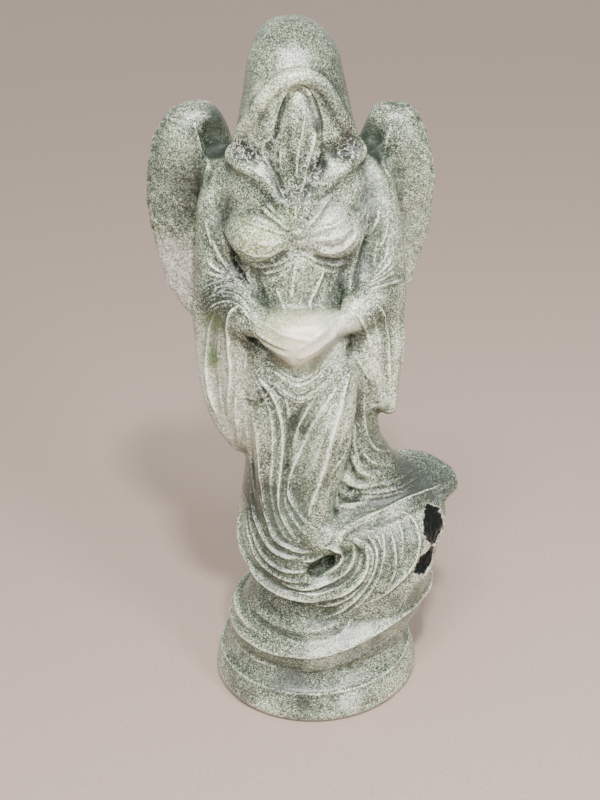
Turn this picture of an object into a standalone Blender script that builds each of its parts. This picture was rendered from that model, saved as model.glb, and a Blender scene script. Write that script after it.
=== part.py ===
"""Jade winged goddess figurine: one carved stone, standing on a turned foot.

A hooded figure with two wings and wide hanging sleeves stands in a skirt that runs down into a
swirl of cloth. The swirl rises on the figure's left into a broad train. Everything is one solid.

The work is modelled as a carver would rough it out. Masses are lofted through cross-sections or
swept along paths, fused by a voxel remesh and softened. The turned foot, the collar and the rims
of cloth are then laid on that body and fused again, and folds, feathers and fingers are carved
into the surface along strokes.

Rows of numbers are in millimetres, +Z up, the figure facing -Y. MM turns them into metres.
"""

import math

import bmesh
import bpy
import numpy as np
from mathutils import Matrix, Vector
from mathutils.bvhtree import BVHTree

MM = 0.001

# Driving dimensions, in millimetres.
FOOT_RADIUS = 30.0
FOOT_HEIGHT = 8.6
NECK_RADIUS = 24.3
COLLAR_RADIUS = 27.6
COLLAR_HEIGHT = 21.5
COLLAR_TILT = 2.2  # how far the collar leans towards the figure's right
COLLAR_LIFT = 5.2  # how much higher it stands on the figure's left
COLLAR_STRETCH = 0.16  # and how much further out, as a share of its radius
COLLAR_SHIFT = 2.8
HEM_BOW = 0.016  # how fast the skirt's hem rises to the sides

# How finely the stone is made: voxels in millimetres, and the triangles left at the end.
ROUGH_VOXEL = 1.3
FINE_VOXEL = 0.8
TRIANGLES = 9600
ALLOWANCE = 0.3  # stone left on for the finest relief

# Where strokes and tools start, well outside the stone, in millimetres.
FAR_IN_FRONT = -200.0
BEHIND = 26.0

JADE = (0.43, 0.46, 0.38, 1.0)


# ---------------------------------------------------------------- curves and bodies


def spline(rows, samples):
    """Rows of numbers along a Catmull-Rom curve through the given rows."""
    rows = np.array(rows, float)
    padded = np.vstack([2 * rows[0] - rows[1], rows, 2 * rows[-1] - rows[-2]])
    place = np.linspace(0, len(rows) - 1, samples)
    first = np.minimum(place.astype(int), len(rows) - 2)
    t = (place - first)[:, None]
    a, b, c, d = (padded[first + k] for k in range(4))
    bend = (2 * a - 5 * b + 4 * c - d) * t**2 + (3 * b - a - 3 * c + d) * t**3
    return 0.5 * (2 * b + (c - a) * t + bend)


def skin(rings):
    """Points and faces of a closed body through rings of equal length, flat at both ends."""
    count, around = rings.shape[:2]
    index = np.arange(count * around).reshape(count, around)
    low, high = index[:-1], index[1:]
    sides = np.stack([low, np.roll(low, -1, 1), np.roll(high, -1, 1), high], -1).reshape(-1, 4)
    faces = [list(face) for face in sides] + [list(index[0][::-1]), list(index[-1])]
    return rings.reshape(-1, 3), faces


def loft(sections, samples=40, around=40, power=2.0):
    """A body standing along Z. A section is (z, centre x, centre y, half width, half depth, turn)."""
    rows = spline([tuple(row) + (0,) * (6 - len(row)) for row in sections], samples)
    angle = np.linspace(0, 2 * math.pi, around, endpoint=False)
    cos, sin = np.cos(angle), np.sin(angle)
    cos = np.sign(cos) * np.abs(cos) ** (2 / power)
    sin = np.sign(sin) * np.abs(sin) ** (2 / power)
    z, cx, cy, half_x, half_y, turn = (rows[:, [k]] for k in range(6))
    half_x, half_y = np.maximum(half_x, 0.05), np.maximum(half_y, 0.05)
    turn = np.radians(turn)
    u, v = half_x * cos, half_y * sin
    x = cx + u * np.cos(turn) - v * np.sin(turn)
    y = cy + u * np.sin(turn) + v * np.cos(turn)
    return skin(np.stack([x, y, np.broadcast_to(z, x.shape)], -1))


def sweep(rows, facing=(0, -1, 0), samples=36, around=14):
    """A rounded strip along a path of (x, y, z, half width, half depth), its depth towards facing."""
    rows = spline(rows, samples)
    rows[:, 3:] = np.maximum(rows[:, 3:], 0.1)
    path = rows[:, :3]
    along = np.gradient(path, axis=0)
    along /= np.linalg.norm(along, axis=1, keepdims=True)
    facing = np.broadcast_to(np.array(facing, float), path.shape)
    depth = facing - along * (along * facing).sum(1, keepdims=True)
    depth /= np.linalg.norm(depth, axis=1, keepdims=True)
    width = np.cross(along, depth)
    dome = np.radians([80, 60, 35])  # rounds each end
    start = [(0, -math.sin(a), math.cos(a)) for a in dome]
    end = [(-1, math.sin(a), math.cos(a)) for a in dome[::-1]]
    stations = start + [(k, 0.0, 1.0) for k in range(samples)] + end
    angle = np.linspace(0, 2 * math.pi, around, endpoint=False)[:, None]
    rings = []
    for k, push, scale in stations:
        wide, deep = rows[k, 3] * scale, rows[k, 4] * scale
        centre = path[k] + along[k] * push * min(rows[k, 3], rows[k, 4])
        rings.append(centre + width[k] * wide * np.cos(angle) + depth[k] * deep * np.sin(angle))
    return skin(np.array(rings))


def body_of(mesh):
    """Points and faces of a Blender mesh."""
    points = np.array([point.co[:] for point in mesh.vertices])
    return points, [list(face.vertices) for face in mesh.polygons]


def ball(centre, radii):
    """An ellipsoid."""
    mesh = bmesh.new()
    place = Matrix.Translation(centre) @ Matrix.Diagonal((*radii, 1))
    bmesh.ops.create_uvsphere(mesh, u_segments=32, v_segments=20, radius=1, matrix=place)
    made = bpy.data.meshes.new("ball")
    mesh.to_mesh(made)
    mesh.free()
    return body_of(made)


def turned(profile, samples=60, steps=72):
    """A body turned about Z from a profile of (radius, z) rows that runs down its outer side."""
    rows = spline(profile, samples)
    top, bottom = (0.0, rows[0, 1]), (0.0, rows[-1, 1])
    outline = [(radius, 0.0, z) for radius, z in [top, *rows.tolist(), bottom]]
    mesh = bpy.data.meshes.new("turned")
    mesh.from_pydata(outline, [(k, k + 1) for k in range(len(outline) - 1)], [])
    made = bpy.data.objects.new("turned", mesh)
    bpy.context.scene.collection.objects.link(made)
    screw = made.modifiers.new("turn", "SCREW")
    screw.steps = screw.render_steps = steps
    screw.use_merge_vertices = True
    screw.merge_threshold = 0.0001
    body = body_of(apply_modifiers(made).data)
    bpy.data.objects.remove(made)
    return body


# ---------------------------------------------------------------- the masses of the figure


def foot():
    """The turned foot: a low drum under a hollow cone that narrows to the neck."""
    return turned(
        [
            (NECK_RADIUS - 0.6, COLLAR_HEIGHT + 2.0),
            (NECK_RADIUS, FOOT_HEIGHT + 7.0),
            (NECK_RADIUS + 0.9, FOOT_HEIGHT + 4.2),
            (FOOT_RADIUS - 3.3, FOOT_HEIGHT + 1.5),
            (FOOT_RADIUS - 2.1, FOOT_HEIGHT + 0.3),
            (FOOT_RADIUS - 1.4, FOOT_HEIGHT - 1.0),
            (FOOT_RADIUS - 0.6, 4.8),
            (FOOT_RADIUS - 0.1, 2.2),
            (FOOT_RADIUS - 0.4, 0.6),
            (FOOT_RADIUS - 0.8, -3.0),
        ]
    )


def collar():
    """The thick rim of cloth over the neck, higher and wider on the figure's left."""
    points, faces = turned(
        [
            (COLLAR_RADIUS - 10.0, 12.5),
            (COLLAR_RADIUS - 6.0, 7.5),
            (COLLAR_RADIUS - 3.0, 3.4),
            (COLLAR_RADIUS - 0.6, 1.2),
            (COLLAR_RADIUS, 0.0),
            (COLLAR_RADIUS - 1.0, -3.4),
            (NECK_RADIUS + 1.2, -6.0),
            (NECK_RADIUS - 0.2, -7.2),
            (NECK_RADIUS - 3.0, -9.0),
        ]
    )
    return tilted(points) + (0, 0, COLLAR_HEIGHT), faces


def tilted(points):
    """Points about Z, tilted as the collar is: higher and drawn out on the figure's left."""
    x, y, z = np.array(points, float).T
    side = np.clip(x / COLLAR_RADIUS, -1, 1)
    lift = 0.5 - 0.5 * np.cos(math.pi * np.clip((side + 0.3) / 1.3, 0, 1))
    stretched = x * (1 + COLLAR_STRETCH * np.maximum(side, 0) ** 2) + COLLAR_SHIFT
    return np.stack([stretched, y, z + COLLAR_TILT * side + COLLAR_LIFT * lift], -1)


def swirl():
    """The rising mass of cloth between the collar and the train."""
    return loft(
        [
            (20, 9, 0, 19, 20),
            (26, 10.2, 0, 21.5, 21.5),
            (32, 11.8, 0, 22.2, 22),
            (38, 12.8, 0, 22.7, 22.6),
            (43, 13.4, 0, 22.9, 22.2),
            (47, 14.4, 0, 23.5, 21.2),
            (51, 15.2, 0, 23.7, 19.4),
            (54.5, 15.8, 0, 21.6, 17),
            (57.5, 16.8, 0, 18.2, 14.5),
            (60, 17.8, 0, 16.6, 11),
        ],
        power=2.2,
    )


def train():
    """The broad train, a shelf that runs out to the figure's left, and its rise to the hip."""
    shelf = sweep(
        [
            (2, -16, 55.0, 8, 5.5),
            (10, -10, 57.2, 12.5, 4.6),
            (20, -4, 59.0, 13, 3.8),
            (29, 1.0, 59.8, 11.5, 3.2),
            (36, 2.6, 59.2, 8.8, 2.8),
            (40.5, 3.6, 58.2, 5.0, 2.2),
        ],
        facing=(0.22, -0.45, 1),
        around=24,
    )
    rise = loft(
        [
            (56, 20, 2, 16, 12),
            (61, 18.2, 1.5, 13.5, 11.5),
            (67, 15.0, 1, 10.8, 11),
            (75, 12.0, 0.5, 8.7, 10),
            (84, 10.5, 0, 9.0, 9),
            (94, 10, 0, 9.5, 9),
            (104, 10, 0, 9, 8.5),
        ]
    )
    return [shelf, rise]


def skirt():
    """The skirt from the waist to the ring of cloth over the collar, and the two legs under it."""
    cloth = loft(
        [
            (34.5, -1, -1, 14.5, 16),
            (38.5, -1.4, -1, 18.6, 20.8),
            (43, -2.0, -1, 19.2, 21.5),
            (50, -3, -1, 17.6, 20),
            (60, -3.5, -1, 15.6, 17.5),
            (70, -2.5, -1, 15.0, 16.2),
            (80, -1.5, -1.5, 15.2, 15.5),
            (90, -0.8, -2.5, 15.8, 15.2),
            (100, -0.5, -3.2, 16, 14.6),
            (108, -0.5, -2.8, 15, 13.6),
            (116, -0.5, -2.0, 13, 11.8),
            (122, -0.5, -1.8, 12.5, 11),
        ]
    )
    # the hem hangs lowest in front
    points, faces = cloth
    hang = np.clip((60 - points[:, 2]) / 22, 0, 1)
    points[:, 2] += HEM_BOW * points[:, 0] ** 2 * hang
    left_leg = sweep(
        [
            (6, -11, 108, 6, 6),
            (7, -13.4, 96, 6.5, 6.5),
            (5.5, -14.8, 82, 6, 6),
            (2.5, -15, 68, 5.2, 5.2),
            (0, -16, 56, 4.6, 4.6),
        ]
    )
    right_leg = sweep(
        [
            (-7, -9.5, 106, 6, 5.5),
            (-8.5, -11.4, 94, 6, 5.5),
            (-9, -12.0, 80, 5.5, 5),
            (-9.5, -12, 66, 5, 4.5),
            (-10, -13, 52, 4.5, 4),
        ]
    )
    return [cloth, left_leg, right_leg]


def torso():
    """Waist, chest, bust and shoulders."""
    trunk = loft(
        [
            (112, -0.5, -2.0, 13, 11.8),
            (118, -0.5, -2.0, 13, 11.2),
            (124, -0.5, -1.8, 13.2, 11.0),
            (130, -0.5, -1.8, 14.2, 11.4),
            (136, -0.5, -1.8, 16, 12.0),
            (142, -0.5, -1.4, 17.4, 12.8),
            (148, -0.5, -0.6, 18.5, 12.8),
            (152, -0.3, 0.6, 18, 11.6),
            (156, 0, 1.5, 14, 9.5),
            (160, 0.2, 1.5, 10, 9),
        ]
    )
    bust = [ball((x, -7.6, 137.0), (8.9, 8.4, 7.4)) for x in (-9.6, 7.4)]
    sides = [
        sweep(
            [
                (14.5 * side, -3.5, 142, 3.5, 4.5),
                (14.2 * side, -4.0, 134, 3.6, 4.8),
                (13.6 * side, -5.0, 127, 3.6, 4.6),
                (13.0 * side, -6.5, 121, 3.4, 4.0),
            ]
        )
        for side in (-1, 1)
    ]
    return [trunk, *bust, *sides]


def arm(side):
    """Upper arm and gathered sleeve, bent at the elbow and brought in to the clasped hands."""
    upper = sweep(
        [
            (17.5 * side, 2, 151, 5.0, 5.5),
            (20.3 * side, 0.5, 142, 5.2, 6.0),
            (20.8 * side, -1.5, 132, 5.8, 6.2),
            (20.3 * side, -3.5, 121, 7.0, 6.6),
            (20.0 * side, -4.5, 113, 6.6, 6.0),
        ]
    )
    lower = sweep(
        [
            (21.5 * side, -4, 120, 6.5, 5.6),
            (17.0 * side, -9.5, 118.4, 5.8, 5.0),
            (13.0 * side, -12.8, 116.4, 4.8, 4.4),
            (9.0 * side, -14.8, 114.6, 3.0, 3.2),
        ]
    )
    return [upper, lower]


def hands():
    """The joined hands, a smooth wedge that comes to a point below."""
    return loft(
        [
            (118.6, -1.2, -12.8, 8.0, 2.0),
            (117.8, -1.2, -14.6, 10.8, 3.8),
            (116.0, -1.2, -15.9, 11.8, 5.0),
            (113.6, -1.4, -16.6, 11.0, 5.5),
            (110.8, -1.6, -17.2, 7.8, 5.0),
            (108.0, -1.8, -18.0, 4.4, 3.8),
            (105.8, -1.9, -18.8, 1.6, 1.8),
        ]
    )


def sleeves():
    """The two wide sleeves that hang from the forearms, each an outer and an inner fall."""
    outer_right = [
        (-24.0, -3.0, 118, 4.5, 5.5),
        (-24.3, -3.2, 106, 4.2, 5.8),
        (-23.8, -3.2, 95, 4.2, 5.6),
        (-21.6, -3.0, 84, 3.8, 5.0),
        (-18.8, -2.6, 76.0, 2.2, 3.8),
    ]
    inner_right = [
        (-18.0, -8.6, 116, 4.5, 4.5),
        (-18.2, -8.6, 106, 4.8, 4.4),
        (-17.8, -8.2, 96, 4.4, 4.2),
        (-17.0, -7.4, 86, 3.6, 3.8),
        (-16.6, -6.2, 79, 2.2, 3.0),
    ]
    outer_left = [
        (22.3, -3.0, 118, 4.3, 5.5),
        (22.8, -3.0, 108, 3.9, 5.8),
        (22.4, -2.6, 98, 3.4, 5.6),
        (22.2, -2.0, 90, 3.0, 5.2),
        (22.4, -1.6, 85.4, 2.6, 4.6),
    ]
    inner_left = [
        (16.0, -8.8, 116, 4.4, 4.2),
        (16.2, -8.8, 107, 4.4, 4.2),
        (17.6, -7.6, 100, 3.4, 3.8),
        (19.4, -5.4, 92, 2.4, 3.2),
        (20.6, -4.0, 87, 1.6, 2.6),
    ]
    behind_left = [
        (12.5, -9.0, 113, 3.0, 3.6),
        (13.0, -8.6, 104, 3.4, 3.8),
        (14.2, -7.0, 96, 3.6, 3.8),
        (15.6, -5.0, 88, 3.2, 3.6),
    ]
    falls = (outer_right, inner_right, outer_left, inner_left, behind_left)
    return [sweep(rows) for rows in falls]


def hood():
    """The tall cowl, the cape that falls from it behind the arms, and its two front points."""
    shell = loft(
        [
            (187.4, -0.3, 2.5, 1.0, 1.0),
            (186.6, -0.3, 2.5, 4.6, 4.6),
            (184.2, 0.2, 2.3, 7.8, 8.0),
            (180.5, 0.4, 1.8, 10.3, 11.0),
            (175.0, 0.5, 1.2, 11.8, 13.0),
            (169.0, 0.4, 1.0, 13.0, 13.8),
            (163.0, 0.4, 1.0, 14.3, 14.0),
            (158.0, 0.3, 1.5, 15.6, 13.3),
            (154.0, 0.2, 2.0, 15.5, 12.0),
            (150.0, 0.0, 2.5, 12.0, 10.0),
        ],
        power=2.1,
    )
    cape = loft(
        [
            (158, 0, 3, 14, 11),
            (152, 0, 3.5, 18, 9),
            (144, 0, 4, 20, 7.5),
            (134, 0, 4.5, 21, 6.5),
            (122, 0, 4.5, 21, 6.5),
            (110, 0, 4.5, 19, 6.5),
            (98, 0, 4.5, 14, 7),
        ]
    )
    points = []
    for side in (-1, 1):
        rows = [
            (13.9 * side, -3.8, 155.4, 3.1, 3.0),
            (10.6 * side, -6.8, 153.6, 4.0, 3.4),
            (6.3 * side, -8.9, 151.2, 4.8, 3.6),
            (1.5 * side, -10.2, 146.4, 4.0, 3.0),
            (0.6, -11.0, 143.2, 2.0, 1.6),
        ]
        points.append(sweep(rows))
    return [shell, cape, *points]


def wing(side, rows):
    """One folded wing, thick at its shoulder. A row is (z, inner edge, outer edge, y, half depth)."""
    swept_back = -12 * side
    sections = []
    for z, inner, outer, y, deep in rows:
        middle, half = 0.5 * (inner + outer) * side, 0.5 * (outer - inner)
        sections.append((z, middle, y, half, deep, swept_back))
    return loft(sections, samples=60, power=2.4)


def wings():
    """The figure's right wing stands a little higher and wider than the left."""
    right = [
        (166.8, 22.5, 26.0, 9.0, 1.5),
        (165.6, 19.5, 30.0, 9.0, 4.2),
        (161.8, 17.2, 33.9, 9.0, 6.2),
        (156.0, 15.5, 36.8, 9.2, 6.8),
        (149.0, 14.0, 38.4, 9.8, 6.0),
        (142.0, 12.5, 39.2, 10.6, 5.2),
        (134.0, 11.0, 38.8, 11.2, 4.6),
        (126.0, 9.5, 37.2, 11.4, 4.2),
        (118.0, 8.5, 35.4, 11.3, 4.0),
        (110.0, 7.5, 30.6, 11.1, 3.6),
        (102.0, 6.5, 24.0, 10.8, 3.2),
        (95.0, 6.0, 17.5, 10.2, 2.6),
        (89.0, 7.0, 12.0, 9.8, 1.8),
    ]
    left = [
        (164.6, 23.0, 26.5, 9.0, 1.5),
        (163.4, 19.8, 30.0, 9.0, 4.2),
        (159.4, 17.8, 32.8, 9.0, 6.2),
        (153.5, 15.5, 34.6, 9.2, 6.8),
        (146.5, 13.5, 35.7, 9.8, 6.0),
        (139.0, 12.0, 35.7, 10.6, 5.2),
        (131.0, 10.5, 34.6, 11.2, 4.6),
        (123.0, 9.5, 32.4, 11.4, 4.2),
        (115.0, 8.5, 29.6, 11.3, 4.0),
        (107.0, 7.0, 25.4, 11.1, 3.6),
        (100.0, 6.0, 20.5, 10.8, 3.2),
        (93.0, 6.0, 14.5, 10.2, 2.4),
        (88.0, 7.0, 10.5, 9.8, 1.6),
    ]
    return [wing(-1, right), wing(1, left)]


def masses():
    """Every large mass of the figure and its drapery."""
    return [
        swirl(), *train(), *skirt(), *torso(), *arm(-1), *arm(1),
        hands(), *sleeves(), *hood(), *wings(), collar(),
    ]


# ---------------------------------------------------------------- fusing, in Blender


def mesh_object(name, bodies):
    """One object holding the given bodies, in metres. They may run into each other."""
    points, faces, first = [], [], 0
    for body_points, body_faces in bodies:
        points.append(np.asarray(body_points) * MM)
        faces += [[int(k) + first for k in face] for face in body_faces]
        first += len(body_points)
    mesh = bpy.data.meshes.new(name)
    mesh.from_pydata(np.concatenate(points).tolist(), [], faces)
    made = bpy.data.objects.new(name, mesh)
    bpy.context.scene.collection.objects.link(made)
    return made


def apply_modifiers(made):
    """Makes the evaluated mesh the object's own."""
    graph = bpy.context.evaluated_depsgraph_get()
    mesh = bpy.data.meshes.new_from_object(made.evaluated_get(graph))
    made.modifiers.clear()
    made.data = mesh
    return made


def fuse(made, voxel, softening):
    """Joins overlapping bodies into one skin and rounds what is sharper than a few voxels."""
    remesh = made.modifiers.new("fuse", "REMESH")
    remesh.mode = "VOXEL"
    remesh.voxel_size = voxel * MM
    smooth = made.modifiers.new("soften", "SMOOTH")
    smooth.factor = 0.5
    smooth.iterations = softening
    return apply_modifiers(made)


def join(body, other):
    """Adds the other object's mesh to the body's."""
    mesh = bmesh.new()
    mesh.from_mesh(body.data)
    mesh.from_mesh(other.data)
    mesh.to_mesh(body.data)
    mesh.free()
    bpy.data.objects.remove(other)


def mesh_arrays(made):
    """The object's points in millimetres, and its normals."""
    mesh = made.data
    points = np.empty(len(mesh.vertices) * 3, np.float32)
    normals = np.empty(len(mesh.vertices) * 3, np.float32)
    mesh.vertices.foreach_get("co", points)
    mesh.vertices.foreach_get("normal", normals)
    return points.reshape(-1, 3) / MM, normals.reshape(-1, 3)


def surface_of(made):
    """A tree of the object's faces, in millimetres, for setting strokes on it."""
    points, _ = mesh_arrays(made)
    return BVHTree.FromPolygons(points.tolist(), [tuple(face.vertices) for face in made.data.polygons])


# ---------------------------------------------------------------- strokes on the surface


def spread(values, samples):
    """One number, or a few spread evenly, as a value at every sample."""
    values = np.atleast_1d(np.array(values, float))
    return np.interp(np.linspace(0, 1, samples), np.linspace(0, 1, len(values)), values)


def touch(point, surface):
    """Where a point meets the surface: (x, z) from straight in front, (x, y, z) at its nearest."""
    if len(point) == 3:
        return surface.find_nearest(Vector(point))[0][:]
    x, z = point
    hit = surface.ray_cast(Vector((x, FAR_IN_FRONT, z)), Vector((0, 1, 0)))
    return (hit[0] or surface.find_nearest(Vector((x, 0, z)))[0])[:]


def set_down(points, surface, samples):
    """Places and normals along a smooth line through the points, lying on the surface."""
    line = spline([touch(point, surface) for point in points], samples)
    hits = [surface.find_nearest(Vector(place)) for place in line]
    places, normals = np.array([hit[0][:] for hit in hits]), np.array([hit[1][:] for hit in hits])
    for _ in range(3):
        places[1:-1] = 0.25 * (places[:-2] + places[2:]) + 0.5 * places[1:-1]
        normals[1:-1] = 0.25 * (normals[:-2] + normals[2:]) + 0.5 * normals[1:-1]
    return places, normals / np.linalg.norm(normals, axis=1, keepdims=True)


def cord(surface, width, height, points, samples=60, around=14):
    """A rounded fold lying half sunk in the surface, as a body."""
    places, normals = set_down(points, surface, samples)
    rows = np.column_stack([places, spread(width, samples), spread(height, samples)])
    return sweep(rows, normals, samples, around)


def crest(u):
    """A sharp crest between hollow flanks."""
    return (1 - u) ** 2


def dome(u):
    """A round rise that meets the surface smoothly."""
    return (1 - u * u) ** 2


def ridge(width, height, points, ends=0.2):
    """A fold, as carved in cloth. width runs from its crest to its foot."""
    return points, width, height, ends, crest


def swell(width, height, points, ends=0.2):
    """A round rise, or with a negative height a round hollow."""
    return points, width, height, ends, dome


def fan(kind, width, height, first, last, count, ends=0.2):
    """Strokes in even steps from the first line of points to the last, which has as many."""
    first, last = np.array(first, float), np.array(last, float)
    steps = [first + (last - first) * k / (count - 1) for k in range(count)]
    return [kind(width, height, line.tolist(), ends) for line in steps]


def carve(made, strokes, samples=80):
    """Moves the object's surface out along ridges and in along hollows."""
    surface = surface_of(made)
    points, normals = mesh_arrays(made)
    high, low = np.zeros(len(points)), np.zeros(len(points))
    way = np.linspace(0, 1, samples)
    for line, width, height, ends, profile in strokes:
        places, facing = set_down(line, surface, samples)
        fade = np.clip(np.minimum(way, 1 - way) / ends, 0, 1) ** 0.8
        wide, tall = spread(width, samples) * (0.4 + 0.6 * fade), spread(height, samples) * fade
        reach = wide.max()
        inside = (points > places.min(0) - reach) & (points < places.max(0) + reach)
        near = np.nonzero(inside.all(axis=1))[0]
        nearest = np.argmin(((points[near][:, None] - places[None]) ** 2).sum(-1), axis=1)
        gap, out = points[near] - places[nearest], facing[nearest]
        ahead = np.gradient(places, axis=0)[nearest]
        pace = np.linalg.norm(ahead, axis=1, keepdims=True)
        ahead /= pace
        gap -= ahead * np.clip((gap * ahead).sum(-1, keepdims=True), -0.5 * pace, 0.5 * pace)
        gap -= 0.6 * out * (gap * out).sum(-1, keepdims=True)
        u = np.minimum(np.linalg.norm(gap, axis=1) / wide[nearest], 1)
        same_side = np.clip(3 * (out * normals[near]).sum(-1), 0, 1)
        lift = tall[nearest] * profile(u) * same_side
        high[near] = np.maximum(high[near], lift)
        low[near] = np.minimum(low[near], lift)
    points += normals * (high + low)[:, None]
    made.data.vertices.foreach_set("co", (points * MM).astype(np.float32).ravel())
    made.data.update()


# ---------------------------------------------------------------- the carving


def deep_hollows():
    """The hollows that divide the masses."""
    inside_cowl = [(1.3, 174), (0.9, 168), (0.4, 161), (-0.2, 154.5), (-0.6, 149.0), (-0.9, 145)]
    under_bust = [(-14.0, 131.5), (-9.0, 130.5), (-3.5, 133.0), (0, 134.0), (3.0, 133), (8.5, 130.2)]
    right_roll = [(-20, 0, 165), (-19.4, 0, 160), (-19.0, 1, 154), (-20.0, 0, 146)]
    left_roll = [(20, 0, 162), (19.0, 0, 157), (18.8, 1, 151), (20.0, 0, 143)]
    return [
        swell((2.6, 6.5, 9.5, 10, 6, 2.5), -3.2, inside_cowl, 0.12),
        swell((3.0, 3.0, 1.6), -0.8, [(-8.0, 157.6), (-11.0, 156.8), (-13.8, 156.6)]),
        swell((3.0, 3.0, 1.6), -0.8, [(8.0, 157.6), (11.0, 156.8), (14.0, 156.0)]),
        # the wings roll back beside the hood
        swell((3.0, 4.6, 4.4, 3.0), -1.8, right_roll, 0.3),
        swell((2.6, 4.0, 4.0, 3.0), -1.6, left_roll, 0.3),
        # between the arms and the body
        swell((2, 2.6, 2.6, 2), -2.0, [(-18.6, 138), (-17.2, 134), (-15.4, 128), (-13.4, 123)]),
        swell((2, 2.2, 2.2, 2), -1.4, [(17.2, 136), (16.0, 131), (14.2, 126), (12.6, 121)]),
        swell(2.6, -0.6, [*under_bust, (13.5, 131.5)]),
        # the mouths of the sleeves
        swell(2.0, -0.6, [(-17.5, 93.5), (-14.0, 93.5), (-10.6, 95.0)]),
        swell(1.8, -1.0, [(11.6, 109.0), (11.8, 104.5)]),
        # between the leg and the train, and the eye of the swirl
        swell((2, 2.8, 3.0, 2.2), -1.4, [(12.0, 80), (10.2, 73.5), (8.8, 67.0), (9.6, 63.5)]),
        swell((2.4, 4.2, 3.8, 2.2), -2.6, [(-3.0, 46.8), (0.6, 46.0), (3.4, 46.8), (5.6, 49.2)]),
        # the broken pockets in the swirl's left side
        swell((2.4, 3.6, 2.4), -1.4, [(34.0, -6, 57), (34.2, -9.6, 52.4), (33.6, -12, 47.6)]),
        swell((2.0, 2.8, 2.0), -1.2, [(33.0, -12, 45.4), (32.2, -13.4, 42.4), (31.6, -14.6, 39.8)]),
    ]


def veil():
    """The veiled form inside the cowl: a long almond that ends in a point over the breast."""
    return sweep(
        [
            (1.3, -9.4, 173.0, 0.6, 0.8),
            (1.3, -9.8, 170.0, 2.6, 2.2),
            (0.9, -9.6, 165.0, 4.6, 3.3),
            (0.3, -9.2, 159.0, 6.0, 3.6),
            (-0.2, -9.4, 153.6, 5.5, 3.2),
            (-0.4, -10.8, 149.0, 3.6, 2.8),
            (-0.7, -12.2, 145.4, 2.0, 2.2),
            (-0.9, -13.0, 142.6, 0.7, 1.3),
        ]
    )


def cords(surface):
    """Rims and hems, as rounded cords laid on the body."""
    cowl = [(-0.6, 141.8), (-3.4, 146), (-7.2, 150.6), (-11.0, 153.4), (-14.0, -7.4, 154.8)]
    cowl += [(-15.6, -4.4, 156.4), (-14.8, -4.6, 159.0)]
    cowl += [(-12.6, 162.2), (-9.2, 167.0), (-6.2, 171.4), (-2.6, 174.5), (1.5, 175.6), (5.6, 174.3)]
    cowl += [(8.6, 170.6), (11.0, 165.6), (13.4, 161.4), (15.2, -4.8, 158.2), (16.0, -4.4, 155.6)]
    cowl += [(13.8, -7.6, 153.8), (10.4, 152.6), (7.6, 150.2), (4.0, 146), (0.8, 142)]
    brim_width = (0.9, 1.2, 1.6, 1.8, 1.9, 2.1, 1.9, 1.8, 1.6, 1.2, 0.9)
    brim_height = (0.2, 0.4, 0.9, 1.5, 1.8, 1.7, 1.8, 1.5, 0.9, 0.4, 0.2)
    dress = [(-18.5, -6, 54), (-18.6, -10, 47.5), (-16.4, -15.5, 43.0), (-12.4, -19, 40.4)]
    dress += [(-6, -21.5, 38.4), (1, -22.5, 37.8), (7, -22.5, 39.4), (12.0, -22, 42.8)]
    dress += [(14.8, -21, 47), (14.6, -20.5, 51), (11.8, -20.5, 54.6)]
    hem = [(40.0, 0.5, 58.2), (31, -7, 59.4), (22.3, -12.5, 59.2), (14.5, -17, 58.4)]
    hem += [(8.5, -20, 56.8), (6.0, -21.5, 52.6)]
    high_hook = [(12.0, -9.8, 75.4), (12.6, -10.4, 72.8), (13.8, -10.8, 70.4), (15.4, -10.3, 68.6)]
    middle_hook = [(9.8, -11, 71.0), (10.1, -10.5, 68.0), (11.4, -10.3, 65.9), (13.6, -10.1, 64.8)]
    low_hook = [(7.8, -14, 66.4), (7.2, -14.8, 63.6), (8.2, -14.6, 61.6), (11, -13.5, 60.9)]
    hooks = (
        [*high_hook, (17.8, -10, 67.2)],
        [*middle_hook, (16.2, -10, 64.5)],
        [*low_hook, (14, -12.3, 61.0), (17, -11, 62)],
    )
    hook_width, hook_height = (0.7, 1.2, 1.3, 1.1, 0.6), (0.4, 1.2, 1.5, 1.1, 0.4)
    return [
        *[cord(surface, hook_width, hook_height, line) for line in hooks],
        cord(surface, brim_width, brim_height, cowl, samples=160),
        cord(surface, (0.8, 1.2, 1.2, 1.2, 1.0), (1.0, 1.8, 1.8, 1.6, 1.0), dress, samples=90),
        cord(surface, (1.2, 1.3, 1.5, 1.5, 1.0), (0.8, 0.9, 1.0, 1.1, 0.8), hem, samples=70),
    ]


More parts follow.
